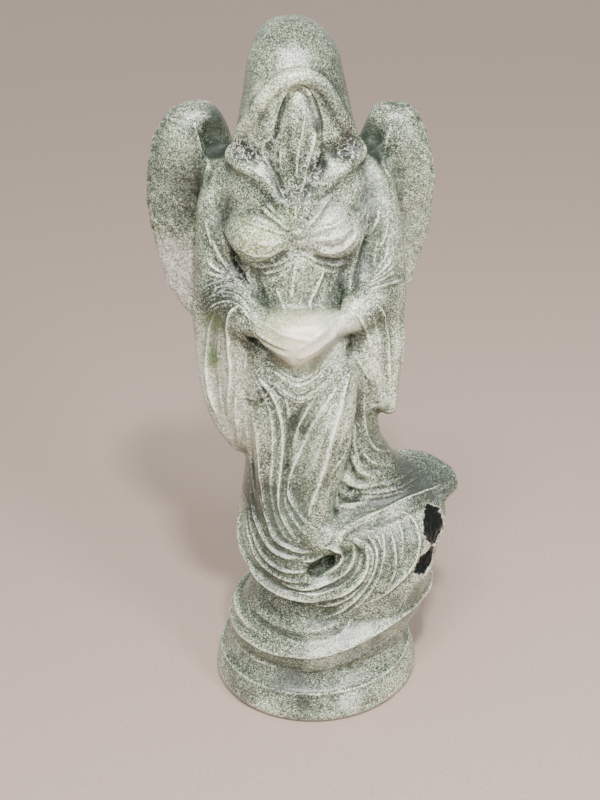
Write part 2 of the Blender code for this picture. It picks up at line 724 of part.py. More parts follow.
def skirt_folds():
    """Swags under the hands, the long folds over the legs, and those that bend into the swirl."""
    high_swag = [(-9.0, 105.0), (-5.0, 101.8), (-1.3, 101.0), (2.6, 103.2), (6.0, 106.6)]
    low_swag = [(-6.5, 97.8), (-4.0, 95.4), (-1.0, 94.6), (2.0, 96.4), (5.0, 99.0)]
    inner_bend = [(-5.0, 74.0), (-6.0, 68.0), (-5.4, 62.5), (-3.4, 58.6), (0.5, 56.0)]
    outer_bend = [(-16.4, 66.0), (-15.4, 60.0), (-12.6, 53.0), (-7.0, 49.6), (0.6, 49.4)]
    ring = [(-17.2, 60.0), (-16.6, 54.0), (-15.0, 48.4), (-10.8, 44.2), (-5.0, 42.0), (2.0, 41.6)]
    ring += [(8.0, 44.0), (11.4, 48.4), (11.4, 53.0)]
    left_thigh = [(11.6, 102.8), (10.0, 99.5), (8.6, 93.5), (6.4, 86), (4.4, 78.5), (1.6, 69)]
    left_shin = [(10.0, 100.8), (5.8, 95.8), (2.2, 89.2), (-0.6, 83), (-3.2, 77), (-5.4, 70)]
    right_thigh = [(-12.8, 102), (-9.4, 97.6), (-7.1, 92.2), (-6.4, 85), (-6.6, 78), (-7.6, 70)]
    between_legs = [(1.5, 95), (-3.6, 88.2), (-4.6, 82.4), (-5.8, 77), (-7.2, 71.5)]
    return [
        *fan(ridge, 1.5, 0.9, high_swag, low_swag, 4),
        ridge(3.0, 1.5, [*left_thigh, (-0.8, 61.8)]),
        ridge(2.4, 1.1, left_shin),
        ridge(2.4, 1.2, right_thigh),
        swell(2.6, -1.6, between_legs),
        *fan(ridge, 1.9, 1.1, inner_bend, outer_bend, 5),
        ridge(1.8, 1.0, ring),
    ]


def swirl_folds():
    """The arcs that wind round the swirl on the figure's left."""
    long_arc = [(0.5, 28.8), (6.8, 31.8), (12.0, 37.0), (16.0, 43.2), (17.6, 49), (17.0, 54)]
    outer_arc = [(14.0, 34.6), (20.0, 38.6), (25.8, 42.8), (29.0, 48.4), (29.0, 53.0), (26.6, 57.2)]
    eye = [(3.0, 53.6), (5.0, 53.4), (7.0, 52.4), (8.1, 49.8), (7.7, 47.4), (5.6, 45.2), (2.2, 44.0)]
    ledge = [(-20.0, -7.4, 25.7), (-13.3, -17.8, 25.4), (-4.4, -23, 25.2), (4.2, -23.4, 26.4)]
    return [
        ridge(1.8, 1.1, long_arc),
        ridge(1.6, 0.8, [(1.5, 33.6), (8.4, 36.4), (13.7, 41.6), (16.4, 47), (16.2, 52.4)]),
        swell(2.2, 0.9, [(18.0, 40.5), (20.6, 46), (21.0, 51.5), (18.0, 56)]),
        swell(2.6, 0.9, [(22.6, 41.0), (25.0, 47), (24.4, 53), (21.5, 57.4)]),
        ridge(2.0, 1.0, outer_arc),
        ridge(1.6, 1.3, eye),
        swell(1.6, -0.7, [*ledge, (9.0, -22, 29)]),
    ]


def upper_folds():
    """Folds of the bodice, arms and sleeves, and the fingers."""
    right_elbow = [(-26.0, 120.6), (-20.4, 124.6), (-14.0, 123.6)]
    right_cuff = [(-24.4, 114.6), (-20.0, 119.2), (-14.0, 120.0)]
    left_elbow = [(23.6, 127), (19.0, 124.6), (15.6, 121.2)]
    left_cuff = [(24.6, 120.6), (20.4, 119.4), (16.2, 117.6)]
    high_finger = [(-9.0, 118.4), (-3.2, 117.6), (3.5, 116.6)]
    low_finger = [(-4.5, 111.6), (0.0, 112.0), (5.5, 113.6)]
    return [
        ridge(1.5, 0.9, [(-10.0, 146.0), (-6.0, 142.8), (-2.6, 140.2)]),
        ridge(1.5, 1.0, [(8.0, 146.4), (5.0, 143.0), (1.8, 140.4)]),
        ridge(1.5, 0.9, [(-2.0, 130.4), (-2.2, 127), (-2.6, 123.6)]),
        ridge(1.6, 1.0, [(5.2, 127.4), (3.6, 123.6), (2.6, 119.2)]),
        ridge(1.5, 1.0, [(-21.4, 134.4), (-19.6, 131), (-17.8, 127)]),
        ridge(1.8, 0.9, [(20.2, 141.4), (19.2, 138), (17.4, 134.6)]),
        *fan(ridge, 1.6, 0.9, right_elbow, right_cuff, 4),
        *fan(ridge, 1.6, 0.9, left_elbow, left_cuff, 3),
        ridge(2.0, 1.3, [(-22.8, 115), (-24.0, 111), (-25.0, 104), (-25.2, 97), (-24.2, 89)]),
        ridge(2.0, 1.3, [(-18.0, 118), (-18.8, 113), (-19.0, 105), (-19.6, 97.6), (-20.6, 88)]),
        ridge(2.0, 1.2, [(18.6, 119), (20.6, 115.4), (21.4, 108), (21.9, 100), (22.1, 92)]),
        ridge(1.6, 0.9, [(13.4, 118), (15.4, 114.4), (16.9, 108)]),
        *fan(ridge, 1.3, 0.5, high_finger, low_finger, 4),
    ]


def feathers():
    """Long feathers down the back of each wing, under two rows of short ones."""
    strokes = []
    for side in (-1, 1):
        for root, bow, tip, end in (
            (16, 13.5, 11.5, 93),
            (20, 18.5, 15.5, 99),
            (24, 23.5, 20.5, 105),
            (28, 28.5, 26.0, 112),
            (32, 32.5, 31.0, 121),
        ):
            places = [(root, 148), (bow + 1, 132), (tip, end)]
            line = [(side * x, BEHIND, z) for x, z in places]
            strokes.append(swell((2.0, 3.0, 2.6, 1.6), 1.5, line, 0.12))
        for level, reach in ((152, (17, 33)), (159, (20, 31))):
            for x in np.arange(*reach, 3.6):
                line = [(side * x, BEHIND, level + 3), (side * (x + 0.4), BEHIND, level - 4)]
                strokes.append(swell((1.6, 2.2, 2.0), 1.2, line, 0.3))
    return strokes


def back_folds():
    """Plain folds of the cape and of the skirt behind."""
    cape_right = [(-9, BEHIND, 150), (-10, BEHIND, 128), (-9, BEHIND, 104)]
    cape_left = [(9, BEHIND, 150), (10, BEHIND, 128), (9, BEHIND, 104)]
    fall_right = [(-12, BEHIND, 94), (-13, BEHIND, 72), (-18, BEHIND, 46)]
    fall_left = [(9, BEHIND, 92), (10, BEHIND, 70), (24, BEHIND, 44)]
    cape = fan(ridge, 3.4, 1.6, cape_right, cape_left, 4)
    return cape + fan(ridge, 3.8, 2.0, fall_right, fall_left, 5)


# ---------------------------------------------------------------- the finished stone


def cut_flat(body):
    """Cuts the stone off flat at z = 0."""
    mesh = bmesh.new()
    mesh.from_mesh(body.data)
    geometry = [*mesh.verts, *mesh.edges, *mesh.faces]
    below = {"plane_co": (0, 0, 0), "plane_no": (0, 0, -1), "clear_outer": True}
    bmesh.ops.bisect_plane(mesh, geom=geometry, dist=1e-7, **below)
    rim = [edge for edge in mesh.edges if edge.is_boundary]
    bmesh.ops.contextual_create(mesh, geom=rim)
    bmesh.ops.triangulate(mesh, faces=mesh.faces[:])
    mesh.to_mesh(body.data)
    mesh.free()


def grow(body, distance):
    """Moves the whole surface out a little."""
    points, normals = mesh_arrays(body)
    points += distance * normals
    body.data.vertices.foreach_set("co", (points * MM).astype(np.float32).ravel())
    body.data.update()


def thin(body, triangles):
    """Merges triangles where the surface is plain, down to about the number wanted."""
    decimate = body.modifiers.new("thin", "DECIMATE")
    decimate.ratio = triangles / len(body.data.polygons)
    apply_modifiers(body)


def jade():
    """Polished grey-green stone."""
    stone = bpy.data.materials.new("jade")
    stone.use_nodes = True
    shader = stone.node_tree.nodes["Principled BSDF"]
    shader.inputs["Base Color"].default_value = JADE
    shader.inputs["Roughness"].default_value = 0.28
    shader.inputs["Metallic"].default_value = 0.0
    stone.diffuse_color = JADE
    return stone


def goddess_figurine():
    """The whole stone, carved and brought down to its number of triangles."""
    body = mesh_object("goddess_figurine", masses())
    fuse(body, ROUGH_VOXEL, 5)
    carve(body, deep_hollows())
    join(body, mesh_object("laid", [*cords(surface_of(body)), veil(), foot(), collar()]))
    fuse(body, FINE_VOXEL, 2)
    carve(body, skirt_folds() + swirl_folds() + upper_folds() + feathers() + back_folds())
    grow(body, ALLOWANCE)
    cut_flat(body)
    thin(body, TRIANGLES)
    body.data.materials.append(jade())
    body.data.shade_smooth()
    return body


def main():
    for old in list(bpy.data.objects):
        bpy.data.objects.remove(old)
    figure = bpy.data.collections.new("winged_goddess")
    bpy.context.scene.collection.children.link(figure)
    body = goddess_figurine()
    bpy.context.scene.collection.objects.unlink(body)
    figure.objects.link(body)
    return body


if __name__ == "__main__":
    main()
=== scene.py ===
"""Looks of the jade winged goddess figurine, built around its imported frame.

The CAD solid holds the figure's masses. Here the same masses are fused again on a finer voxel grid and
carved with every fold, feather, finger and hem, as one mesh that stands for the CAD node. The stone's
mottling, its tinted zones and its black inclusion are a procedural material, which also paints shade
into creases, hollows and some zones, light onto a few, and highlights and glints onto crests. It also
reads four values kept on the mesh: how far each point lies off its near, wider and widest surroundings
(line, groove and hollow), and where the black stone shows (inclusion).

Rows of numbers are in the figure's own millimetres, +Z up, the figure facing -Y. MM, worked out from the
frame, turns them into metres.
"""

import math

import bmesh
import bpy
import numpy as np
from mathutils import Matrix, Vector, noise
from mathutils.bvhtree import BVHTree
from mathutils.kdtree import KDTree


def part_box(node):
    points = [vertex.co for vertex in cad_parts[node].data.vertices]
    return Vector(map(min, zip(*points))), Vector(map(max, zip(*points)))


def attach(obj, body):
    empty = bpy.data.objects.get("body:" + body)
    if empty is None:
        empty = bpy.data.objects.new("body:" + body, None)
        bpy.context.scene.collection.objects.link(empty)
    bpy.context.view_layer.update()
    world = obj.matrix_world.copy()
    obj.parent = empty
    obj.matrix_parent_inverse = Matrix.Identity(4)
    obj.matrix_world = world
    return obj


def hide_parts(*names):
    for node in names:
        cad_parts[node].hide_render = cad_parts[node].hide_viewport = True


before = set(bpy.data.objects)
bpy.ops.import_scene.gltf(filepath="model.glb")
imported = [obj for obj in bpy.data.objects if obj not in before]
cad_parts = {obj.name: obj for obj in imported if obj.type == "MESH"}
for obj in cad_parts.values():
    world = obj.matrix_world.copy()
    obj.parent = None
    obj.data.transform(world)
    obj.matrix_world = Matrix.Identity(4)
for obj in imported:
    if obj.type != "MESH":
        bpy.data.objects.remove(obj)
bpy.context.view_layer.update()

NODE = "goddess_figurine"

# The figure is drawn 187.6 of its own millimetres tall, and the frame says how tall it really is.
DRAWN_HEIGHT = 187.6
NODE_LOW, NODE_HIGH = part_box(NODE)
MM = (NODE_HIGH.z - NODE_LOW.z) / DRAWN_HEIGHT

# The turned foot and the collar over it.
FOOT_RADIUS = 30
FOOT_HEIGHT = 8.6  # of the drum under the cone
NECK_RADIUS = 24.3
COLLAR_RADIUS = 27.6
COLLAR_HEIGHT = 21.5
COLLAR_TILT = 2.2  # how far the collar leans towards the figure's right
COLLAR_LIFT = 5.2  # how much higher it stands on the figure's left
COLLAR_STRETCH = 0.16  # how far it is drawn out there, as a share
COLLAR_SHIFT = 2.8
HEM_TOP = 60  # below here the skirt hangs lower in front than at its sides
HEM_FALL = 22  # over this much height, more and more
HEM_BOW = 0.016  # how fast its hem then rises to the sides

# How finely the stone is made.
ROUGH_VOXEL = 1
FINE_VOXEL = 0.42
TRIANGLES = 195000

# How strokes are laid on the stone.
STEP = 0.5  # distance between samples along a stroke
END_WIDTH = 0.4  # how wide a stroke is at its ends, as a share
END_BLUNTNESS = 0.8  # below 1, a stroke's ends rise faster at first
LEVELLING = 0.6  # how much of a point's height over a stroke doesn't count as distance from it
GOLDEN = 0.618  # spreads repeated strokes' strays evenly
UNEVEN = 0.6  # how far repeated strokes stray, in their own spacing

# How far the finished surface strays, the wings' tool marks reach and their edges are chipped.
UNEVEN_SURFACE = 0.22
TOOL_MARK = 0.30
CHIP = 1.6

# Depths from which strokes are set down on the front, and on the back.
FAR_IN_FRONT = -200
BEHIND = 26


# ---------------------------------------------------------------- curves and bodies


def spline(rows, samples):
    """Rows of numbers along a Catmull-Rom curve through the given rows."""
    rows = np.array(rows, float)
    padded = np.vstack([2 * rows[0] - rows[1], rows, 2 * rows[-1] - rows[-2]])
    place = np.linspace(0, len(rows) - 1, samples)
    first = np.minimum(place.astype(int), len(rows) - 2)
    t = (place - first)[:, None]
    a, b, c, d = (padded[first + k] for k in range(4))
    bend = (2 * a - 5 * b + 4 * c - d) * t**2 + (3 * b - a - 3 * c + d) * t**3
    return 0.5 * (2 * b + (c - a) * t + bend)


def climb(values, start, length):
    """0 up to start, 1 from start + length, and evenly between."""
    return np.clip((values - start) / length, 0, 1)


def round_angles(count):
    """Angles evenly round a full turn."""
    return np.linspace(0, 2 * math.pi, count, endpoint=False)


def skin(rings):
    """Points and faces of a closed body through rings of equal length, flat at both ends."""
    count, around = rings.shape[:2]
    index = np.arange(count * around).reshape(count, around)
    low, high = index[:-1], index[1:]
    sides = np.stack([low, np.roll(low, -1, 1), np.roll(high, -1, 1), high], -1).reshape(-1, 4)
    faces = [list(face) for face in sides] + [list(index[0][::-1]), list(index[-1])]
    return rings.reshape(-1, 3), faces


def loft(*sections, samples=60, around=64, power=2):
    """A body standing along Z. A section is (z, centre x, centre y, half width, half depth, turn)."""
    rows = spline([tuple(row) + (0,) * (6 - len(row)) for row in sections], samples)
    cos, sin = np.cos(round_angles(around)), np.sin(round_angles(around))
    cos = np.sign(cos) * np.abs(cos) ** (2 / power)
    sin = np.sign(sin) * np.abs(sin) ** (2 / power)
    z, cx, cy, half_x, half_y, turn = (rows[:, [k]] for k in range(6))
    half_x, half_y = np.maximum(half_x, 0.05), np.maximum(half_y, 0.05)
    turn = np.radians(turn)
    u, v = half_x * cos, half_y * sin
    x = cx + u * np.cos(turn) - v * np.sin(turn)
    y = cy + u * np.sin(turn) + v * np.cos(turn)
    return skin(np.stack([x, y, np.broadcast_to(z, x.shape)], -1))


def sweep(*rows, facing=(0, -1, 0), samples=48, around=24):
    """A rounded strip along a path of (x, y, z, half width, half depth), its depth towards facing."""
    rows = spline(rows, samples)
    rows[:, 3:] = np.maximum(rows[:, 3:], 0.1)
    path = rows[:, :3]
    along = np.gradient(path, axis=0)
    along /= np.linalg.norm(along, axis=1, keepdims=True)
    facing = np.broadcast_to(np.array(facing, float), path.shape)
    depth = facing - along * (along * facing).sum(1, keepdims=True)
    depth /= np.linalg.norm(depth, axis=1, keepdims=True)
    width = np.cross(along, depth)
    turns = np.radians([80, 60, 35])  # round off each end
    start = [(0, -math.sin(turn), math.cos(turn)) for turn in turns]
    end = [(-1, math.sin(turn), math.cos(turn)) for turn in turns[::-1]]
    stations = start + [(k, 0, 1) for k in range(samples)] + end
    angle = round_angles(around)[:, None]
    rings = []
    for k, push, scale in stations:
        wide, deep = rows[k, 3] * scale, rows[k, 4] * scale
        centre = path[k] + along[k] * push * min(rows[k, 3], rows[k, 4])
        rings.append(centre + width[k] * wide * np.cos(angle) + depth[k] * deep * np.sin(angle))
    return skin(np.array(rings))


def ball(centre, radii):
    """An ellipsoid."""
    mesh = bmesh.new()
    place = Matrix.Translation(centre) @ Matrix.Diagonal((*radii, 1))
    bmesh.ops.create_uvsphere(mesh, u_segments=48, v_segments=32, radius=1, matrix=place)
    made = bpy.data.meshes.new("ball")
    mesh.to_mesh(made)
    mesh.free()
    points = np.array([point.co[:] for point in made.vertices])
    return points, [list(face.vertices) for face in made.polygons]


def turned(*profile, samples=110, around=144):
    """A body turned about Z from a profile of (radius, z) rows that runs down its outer side."""
    rows = spline(profile, samples)[::-1]
    angle = round_angles(around)
    radius, z = rows[:, [0]], rows[:, [1]]
    rings = np.stack([radius * np.cos(angle), radius * np.sin(angle), z + 0 * angle], -1)
    return skin(rings)


# ---------------------------------------------------------------- the masses of the figure


def foot():
    """The turned foot: a low drum under a hollow cone that narrows to the neck."""
    return turned(
        (NECK_RADIUS - 0.6, COLLAR_HEIGHT + 2), (NECK_RADIUS, FOOT_HEIGHT + 7),
        (NECK_RADIUS + 0.9, FOOT_HEIGHT + 4.2), (FOOT_RADIUS - 3.3, FOOT_HEIGHT + 1.5),
        (FOOT_RADIUS - 2.1, FOOT_HEIGHT + 0.3), (FOOT_RADIUS - 1.4, FOOT_HEIGHT - 1),
        (FOOT_RADIUS - 0.6, 4.8), (FOOT_RADIUS - 0.1, 2.4), (FOOT_RADIUS - 0.4, 1.1),
        (FOOT_RADIUS - 1.2, 0.3), (FOOT_RADIUS - 2.4, -0.4), (FOOT_RADIUS - 3.4, -3),
    )


def collar():
    """The thick rim of cloth over the neck, higher and wider on the figure's left."""
    points, faces = turned(
        (COLLAR_RADIUS - 10, 12.5), (COLLAR_RADIUS - 6, 7.5), (COLLAR_RADIUS - 3, 3.4),
        (COLLAR_RADIUS - 0.6, 1.2), (COLLAR_RADIUS, 0), (COLLAR_RADIUS - 1, -3.4), (NECK_RADIUS + 1.2, -6),
        (NECK_RADIUS - 0.2, -7.2), (NECK_RADIUS - 3, -9),
    )
    return tilted(points) + (0, 0, COLLAR_HEIGHT), faces


def tilted(points):
    """Points about Z, tilted as the collar is: higher and drawn out on the figure's left."""
    x, y, z = np.array(points, float).T
    side = np.clip(x / COLLAR_RADIUS, -1, 1)
    lift = 0.5 - 0.5 * np.cos(math.pi * climb(side, -0.3, 1.3))
    stretched = x * (1 + COLLAR_STRETCH * np.maximum(side, 0) ** 2) + COLLAR_SHIFT
    return np.stack([stretched, y, z + COLLAR_TILT * side + COLLAR_LIFT * lift], -1)


def swirl():
    """The rising mass of cloth between the collar and the train."""
    return loft(
        (20, 9, 0, 19, 20), (26, 10.2, 0, 21.5, 21.5), (32, 11.8, 0, 22.2, 22), (38, 12.8, 0, 22.7, 22.6),
        (43, 13.4, 0, 22.9, 22.2), (47, 14.4, 0, 23.5, 21.2), (51, 15.2, 0, 23.7, 19.4),
        (54.5, 15.8, 0, 21.6, 17), (57.5, 16.8, 0, 18.2, 14.5), (60, 17.8, 0, 16.6, 11),
        power=2.2,
    )


def train():
    """The broad train, a shelf that runs out to the figure's left, and its rise to the hip."""
    shelf = sweep(
        (2, -16, 55, 8, 5.5), (10, -10, 57.2, 12.5, 4.6), (20, -4, 59, 13, 3.8), (29, 1, 59.8, 11.5, 3.2),
        (36, 2.6, 59.2, 8.8, 2.8), (40.5, 3.6, 58.2, 5, 2.2),
        facing=(0.22, -0.45, 1),
    )
    rise = loft(
        (56, 20, 2, 16, 12), (61, 18.2, 1.5, 13.5, 11.5), (67, 15, 1, 10.8, 11), (75, 12, 0.5, 8.7, 10),
        (84, 10.5, 0, 9, 9), (94, 10, 0, 9.5, 9), (104, 10, 0, 9, 8.5),
    )
    return [shelf, rise]


def skirt():
    """The skirt from the waist to the ring of cloth over the collar, and the two legs under it."""
    cloth = loft(
        (34.5, -1, -1, 14.5, 16), (38.5, -1.4, -1, 18.6, 20.8), (43, -2, -1, 19.2, 21.5),
        (50, -3, -1, 17.6, 20), (60, -3.5, -1, 15.6, 17.5), (70, -2.5, -1, 15, 16.2),
        (80, -1.5, -1.5, 15.2, 15.5), (90, -0.8, -2.5, 15.8, 15.2), (100, -0.5, -3.2, 16, 14.6),
        (108, -0.5, -2.8, 15, 13.6), (116, -0.5, -2, 13, 11.8), (122, -0.5, -1.8, 12.5, 11),
    )
    # the hem hangs lowest in front
    points = cloth[0]
    hang = np.clip((HEM_TOP - points[:, 2]) / HEM_FALL, 0, 1)
    points[:, 2] += HEM_BOW * points[:, 0] ** 2 * hang
    left_leg = sweep(
        (6, -11, 108, 6, 6), (7, -13.4, 96, 6.5, 6.5), (5.5, -14.8, 82, 6, 6), (2.5, -15, 68, 5.2, 5.2),
        (0, -16, 56, 4.6, 4.6),
    )
    right_leg = sweep(
        (-7, -9.5, 106, 6, 5.5), (-8.5, -11.4, 94, 6, 5.5), (-9, -12, 80, 5.5, 5), (-9.5, -12, 66, 5, 4.5),
        (-10, -13, 52, 4.5, 4),
    )
    return [cloth, left_leg, right_leg]


def torso():
    """Waist, chest, bust and shoulders."""
    trunk = loft(
        (112, -0.5, -2, 13, 11.8), (118, -0.5, -2, 13, 11.2), (124, -0.5, -1.8, 13.2, 11),
        (130, -0.5, -1.8, 14.2, 11.4), (136, -0.5, -1.8, 16, 12), (142, -0.5, -1.4, 17.4, 12.8),
        (148, -0.5, -0.6, 18.5, 12.8), (152, -0.3, 0.6, 18, 11.6), (156, 0, 1.5, 14, 9.5),
        (160, 0.2, 1.5, 10, 9),
    )
    bust = [ball((x, -7.6, 137), (8.9, 8.4, 7.4)) for x in (-9.6, 7.4)]
    sides = [
        sweep(
            (14.5 * side, -3.5, 142, 3.5, 4.5), (14.2 * side, -4, 134, 3.6, 4.8),
            (13.6 * side, -5, 127, 3.6, 4.6), (13 * side, -6.5, 121, 3.4, 4),
        )
        for side in (-1, 1)
    ]
    return [trunk, *bust, *sides]


def arm(side):
    """Upper arm and gathered sleeve, bent at the elbow and brought in to the clasped hands."""
    upper = sweep(
        (17.5 * side, 2, 151, 5, 5.5), (20.3 * side, 0.5, 142, 5.2, 6), (20.8 * side, -1.5, 132, 5.8, 6.2),
        (20.3 * side, -3.5, 121, 7, 6.6), (20 * side, -4.5, 113, 6.6, 6),
    )
    lower = sweep(
        (21.5 * side, -4, 120, 6.5, 5.6), (17 * side, -9.5, 118.4, 5.8, 5),
        (13 * side, -12.8, 116.4, 4.8, 4.4), (9 * side, -14.8, 114.6, 3, 3.2),
    )
    return [upper, lower]


def hands():
    """The joined hands, a smooth wedge that comes to a point below."""
    return loft(
        (118.6, -1.2, -12.8, 8, 2), (117.8, -1.2, -14.6, 10.8, 3.8), (116, -1.2, -15.9, 11.8, 5),
        (113.6, -1.4, -16.6, 11, 5.5), (110.8, -1.6, -17.2, 7.8, 5), (108, -1.8, -18, 4.4, 3.8),
        (105.8, -1.9, -18.8, 1.6, 1.8),
    )


def sleeves():
    """The two wide sleeves that hang from the forearms, each an outer and an inner fall."""
    outer_right = [
        (-24, -3, 118, 4.5, 5.5), (-24.3, -3.2, 106, 4.2, 5.8), (-23.8, -3.2, 95, 4.2, 5.6),
        (-21.6, -3, 84, 3.8, 5), (-18.8, -2.6, 76, 2.2, 3.8),
    ]
    inner_right = [
        (-18, -8.6, 116, 4.5, 4.5), (-18.2, -8.6, 106, 4.8, 4.4), (-17.8, -8.2, 96, 4.4, 4.2),
        (-17, -7.4, 86, 3.6, 3.8), (-16.6, -6.2, 79, 2.2, 3),
    ]
    outer_left = [
        (22.3, -3, 118, 4.3, 5.5), (22.8, -3, 108, 3.9, 5.8), (22.4, -2.6, 98, 3.4, 5.6),
        (22.2, -2, 90, 3, 5.2), (22.4, -1.6, 85.4, 2.6, 4.6),
    ]
    inner_left = [
        (16, -8.8, 116, 4.4, 4.2), (16.2, -8.8, 107, 4.4, 4.2), (17.6, -7.6, 100, 3.4, 3.8),
        (19.4, -5.4, 92, 2.4, 3.2), (20.6, -4, 87, 1.6, 2.6),
    ]
    behind_left = [
        (12.5, -9, 113, 3, 3.6), (13, -8.6, 104, 3.4, 3.8), (14.2, -7, 96, 3.6, 3.8),
        (15.6, -5, 88, 3.2, 3.6),
    ]
    falls = (outer_right, inner_right, outer_left, inner_left, behind_left)
    return [sweep(*rows) for rows in falls]


def hood():
    """The tall cowl, the cape that falls from it behind the arms, and its two front points."""
    shell = loft(
        (187.4, -0.3, 2.5, 1, 1), (186.6, -0.3, 2.5, 4.6, 4.6), (184.2, 0.2, 2.3, 7.8, 8),
        (180.5, 0.4, 1.8, 10.3, 11), (175, 0.5, 1.2, 11.8, 13), (169, 0.4, 1, 13, 13.8),
        (163, 0.4, 1, 14.3, 14), (158, 0.3, 1.5, 15.6, 13.3), (154, 0.2, 2, 15.5, 12),
        (150, 0, 2.5, 12, 10),
        power=2.1,
    )
    cape = loft(
        (158, 0, 3, 14, 11), (152, 0, 3.5, 18, 9), (144, 0, 4, 20, 7.5), (134, 0, 4.5, 21, 6.5),
        (122, 0, 4.5, 21, 6.5), (110, 0, 4.5, 19, 6.5), (98, 0, 4.5, 14, 7),
    )
    points = [
        sweep(
            (13.9 * side, -3.8, 155.4, 3.1, 3), (10.6 * side, -6.8, 153.6, 4, 3.4),
            (6.3 * side, -8.9, 151.2, 4.8, 3.6), (1.5 * side, -10.2, 146.4, 4, 3),
            (0.6, -11, 143.2, 2, 1.6),
        )
        for side in (-1, 1)
    ]
    return [shell, cape, *points]


def wing(side, rows):
    """One folded wing, thick at its shoulder. A row is (z, inner edge, outer edge, y, half depth)."""
    swept_back = -12 * side
    sections = []
    for z, inner, outer, y, deep in rows:
        middle, half = 0.5 * (inner + outer) * side, 0.5 * (outer - inner)
        sections.append((z, middle, y, half, deep, swept_back))
    return loft(*sections, power=2.4)


def wings():
    """The figure's right wing stands a little higher and wider than the left."""
    right = [
        (166.8, 22.5, 26, 9, 1.5), (165.6, 19.5, 30, 9, 4.2), (161.8, 17.2, 33.9, 9, 6.2),
        (156, 15.5, 36.8, 9.2, 6.8), (149, 14, 38.4, 9.8, 6), (142, 12.5, 39.2, 10.6, 5.2),
        (134, 11, 38.8, 11.2, 4.6), (126, 9.5, 37.2, 11.4, 4.2), (118, 8.5, 35.4, 11.3, 4),
        (110, 7.5, 30.6, 11.1, 3.6), (102, 6.5, 24, 10.8, 3.2), (95, 6, 17.5, 10.2, 2.6),
        (89, 7, 12, 9.8, 1.8),
    ]
    left = [
        (164.6, 23, 26.5, 9, 1.5), (163.4, 19.8, 30, 9, 4.2), (159.4, 17.8, 32.8, 9, 6.2),
        (153.5, 15.5, 34.6, 9.2, 6.8), (146.5, 13.5, 35.7, 9.8, 6), (139, 12, 35.7, 10.6, 5.2),
        (131, 10.5, 34.6, 11.2, 4.6), (123, 9.5, 32.4, 11.4, 4.2), (115, 8.5, 29.6, 11.3, 4),
        (107, 7, 25.4, 11.1, 3.6), (100, 6, 20.5, 10.8, 3.2), (93, 6, 14.5, 10.2, 2.4),
        (88, 7, 10.5, 9.8, 1.6),
    ]
    return [wing(-1, right), wing(1, left)]


def masses():
    """Every large mass of the figure and its drapery."""
    return [
        swirl(), *train(), *skirt(), *torso(), *arm(-1), *arm(1),
        hands(), *sleeves(), *hood(), *wings(), collar(),
    ]


# ---------------------------------------------------------------- fusing, in Blender


def placed(name, data):
    """A new object in the scene."""
    made = bpy.data.objects.new(name, data)
    bpy.context.scene.collection.objects.link(made)
    return made


def mesh_object(name, bodies):
    """One object holding the given bodies, in metres. They may run into each other."""
    points, faces, first = [], [], 0
    for body_points, body_faces in bodies:
        points.append(np.asarray(body_points) * MM)
        faces += [[int(k) + first for k in face] for face in body_faces]
        first += len(body_points)
    mesh = bpy.data.meshes.new(name)
    mesh.from_pydata(np.concatenate(points).tolist(), [], faces)
    return placed(name, mesh)


def apply_modifiers(made):
    """Makes the evaluated mesh the object's own."""
    graph = bpy.context.evaluated_depsgraph_get()
    mesh = bpy.data.meshes.new_from_object(made.evaluated_get(graph))
    made.modifiers.clear()
    made.data = mesh
    return made


def fuse(made, voxel, softening):
    """Joins overlapping bodies into one skin and rounds what is sharper than a few voxels."""
    remesh = made.modifiers.new("fuse", "REMESH")
    remesh.mode = "VOXEL"
    remesh.voxel_size = voxel * MM
    smooth = made.modifiers.new("soften", "SMOOTH")
    smooth.factor = 0.5
    smooth.iterations = softening
    return apply_modifiers(made)


def join(body, other):
    """Adds the other object's mesh to the body's."""
    mesh = bmesh.new()
    mesh.from_mesh(body.data)
    mesh.from_mesh(other.data)
    mesh.to_mesh(body.data)
    mesh.free()
    bpy.data.objects.remove(other)


def mesh_arrays(made):
    """The object's points in millimetres, and its normals."""
    mesh = made.data
    points = np.empty(len(mesh.vertices) * 3, np.float32)
    normals = np.empty(len(mesh.vertices) * 3, np.float32)
    mesh.vertices.foreach_get("co", points)
    mesh.vertices.foreach_get("normal", normals)
    return points.reshape(-1, 3) / MM, normals.reshape(-1, 3)


def set_points(made, points):
    """Puts the object's points at places in millimetres."""
    made.data.vertices.foreach_set("co", (points * MM).astype(np.float32).ravel())
    made.data.update()


def keep(made, name, values):
    """Keeps a value for each point on the mesh, for the material to read."""
    kept = made.data.attributes.new(name, "FLOAT", "POINT")
    kept.data.foreach_set("value", values.astype(np.float32))


def surface_of(made):
    """A tree of the object's faces, in millimetres, for setting strokes on it."""
    points, _ = mesh_arrays(made)
    return BVHTree.FromPolygons(points.tolist(), [tuple(face.vertices) for face in made.data.polygons])


def tree_of(points):
    """A tree of points, for finding those near a stroke."""
    tree = KDTree(len(points))
    for k, point in enumerate(points.tolist()):
        tree.insert(point, k)
    tree.balance()
    return tree


# ---------------------------------------------------------------- strokes on the surface


def spread(values, samples):
    """One number, or a few spread evenly, as a value at every sample."""
    values = np.atleast_1d(np.array(values, float))
    return np.interp(np.linspace(0, 1, samples), np.linspace(0, 1, len(values)), values)


def touch(point, surface):
    """Where a point meets the surface: (x, z) from straight in front, (x, y, z) at its nearest."""
    if len(point) == 3:
        return surface.find_nearest(Vector(point))[0][:]
    x, z = point
    hit = surface.ray_cast(Vector((x, FAR_IN_FRONT, z)), Vector((0, 1, 0)))
    return (hit[0] or surface.find_nearest(Vector((x, 0, z)))[0])[:]


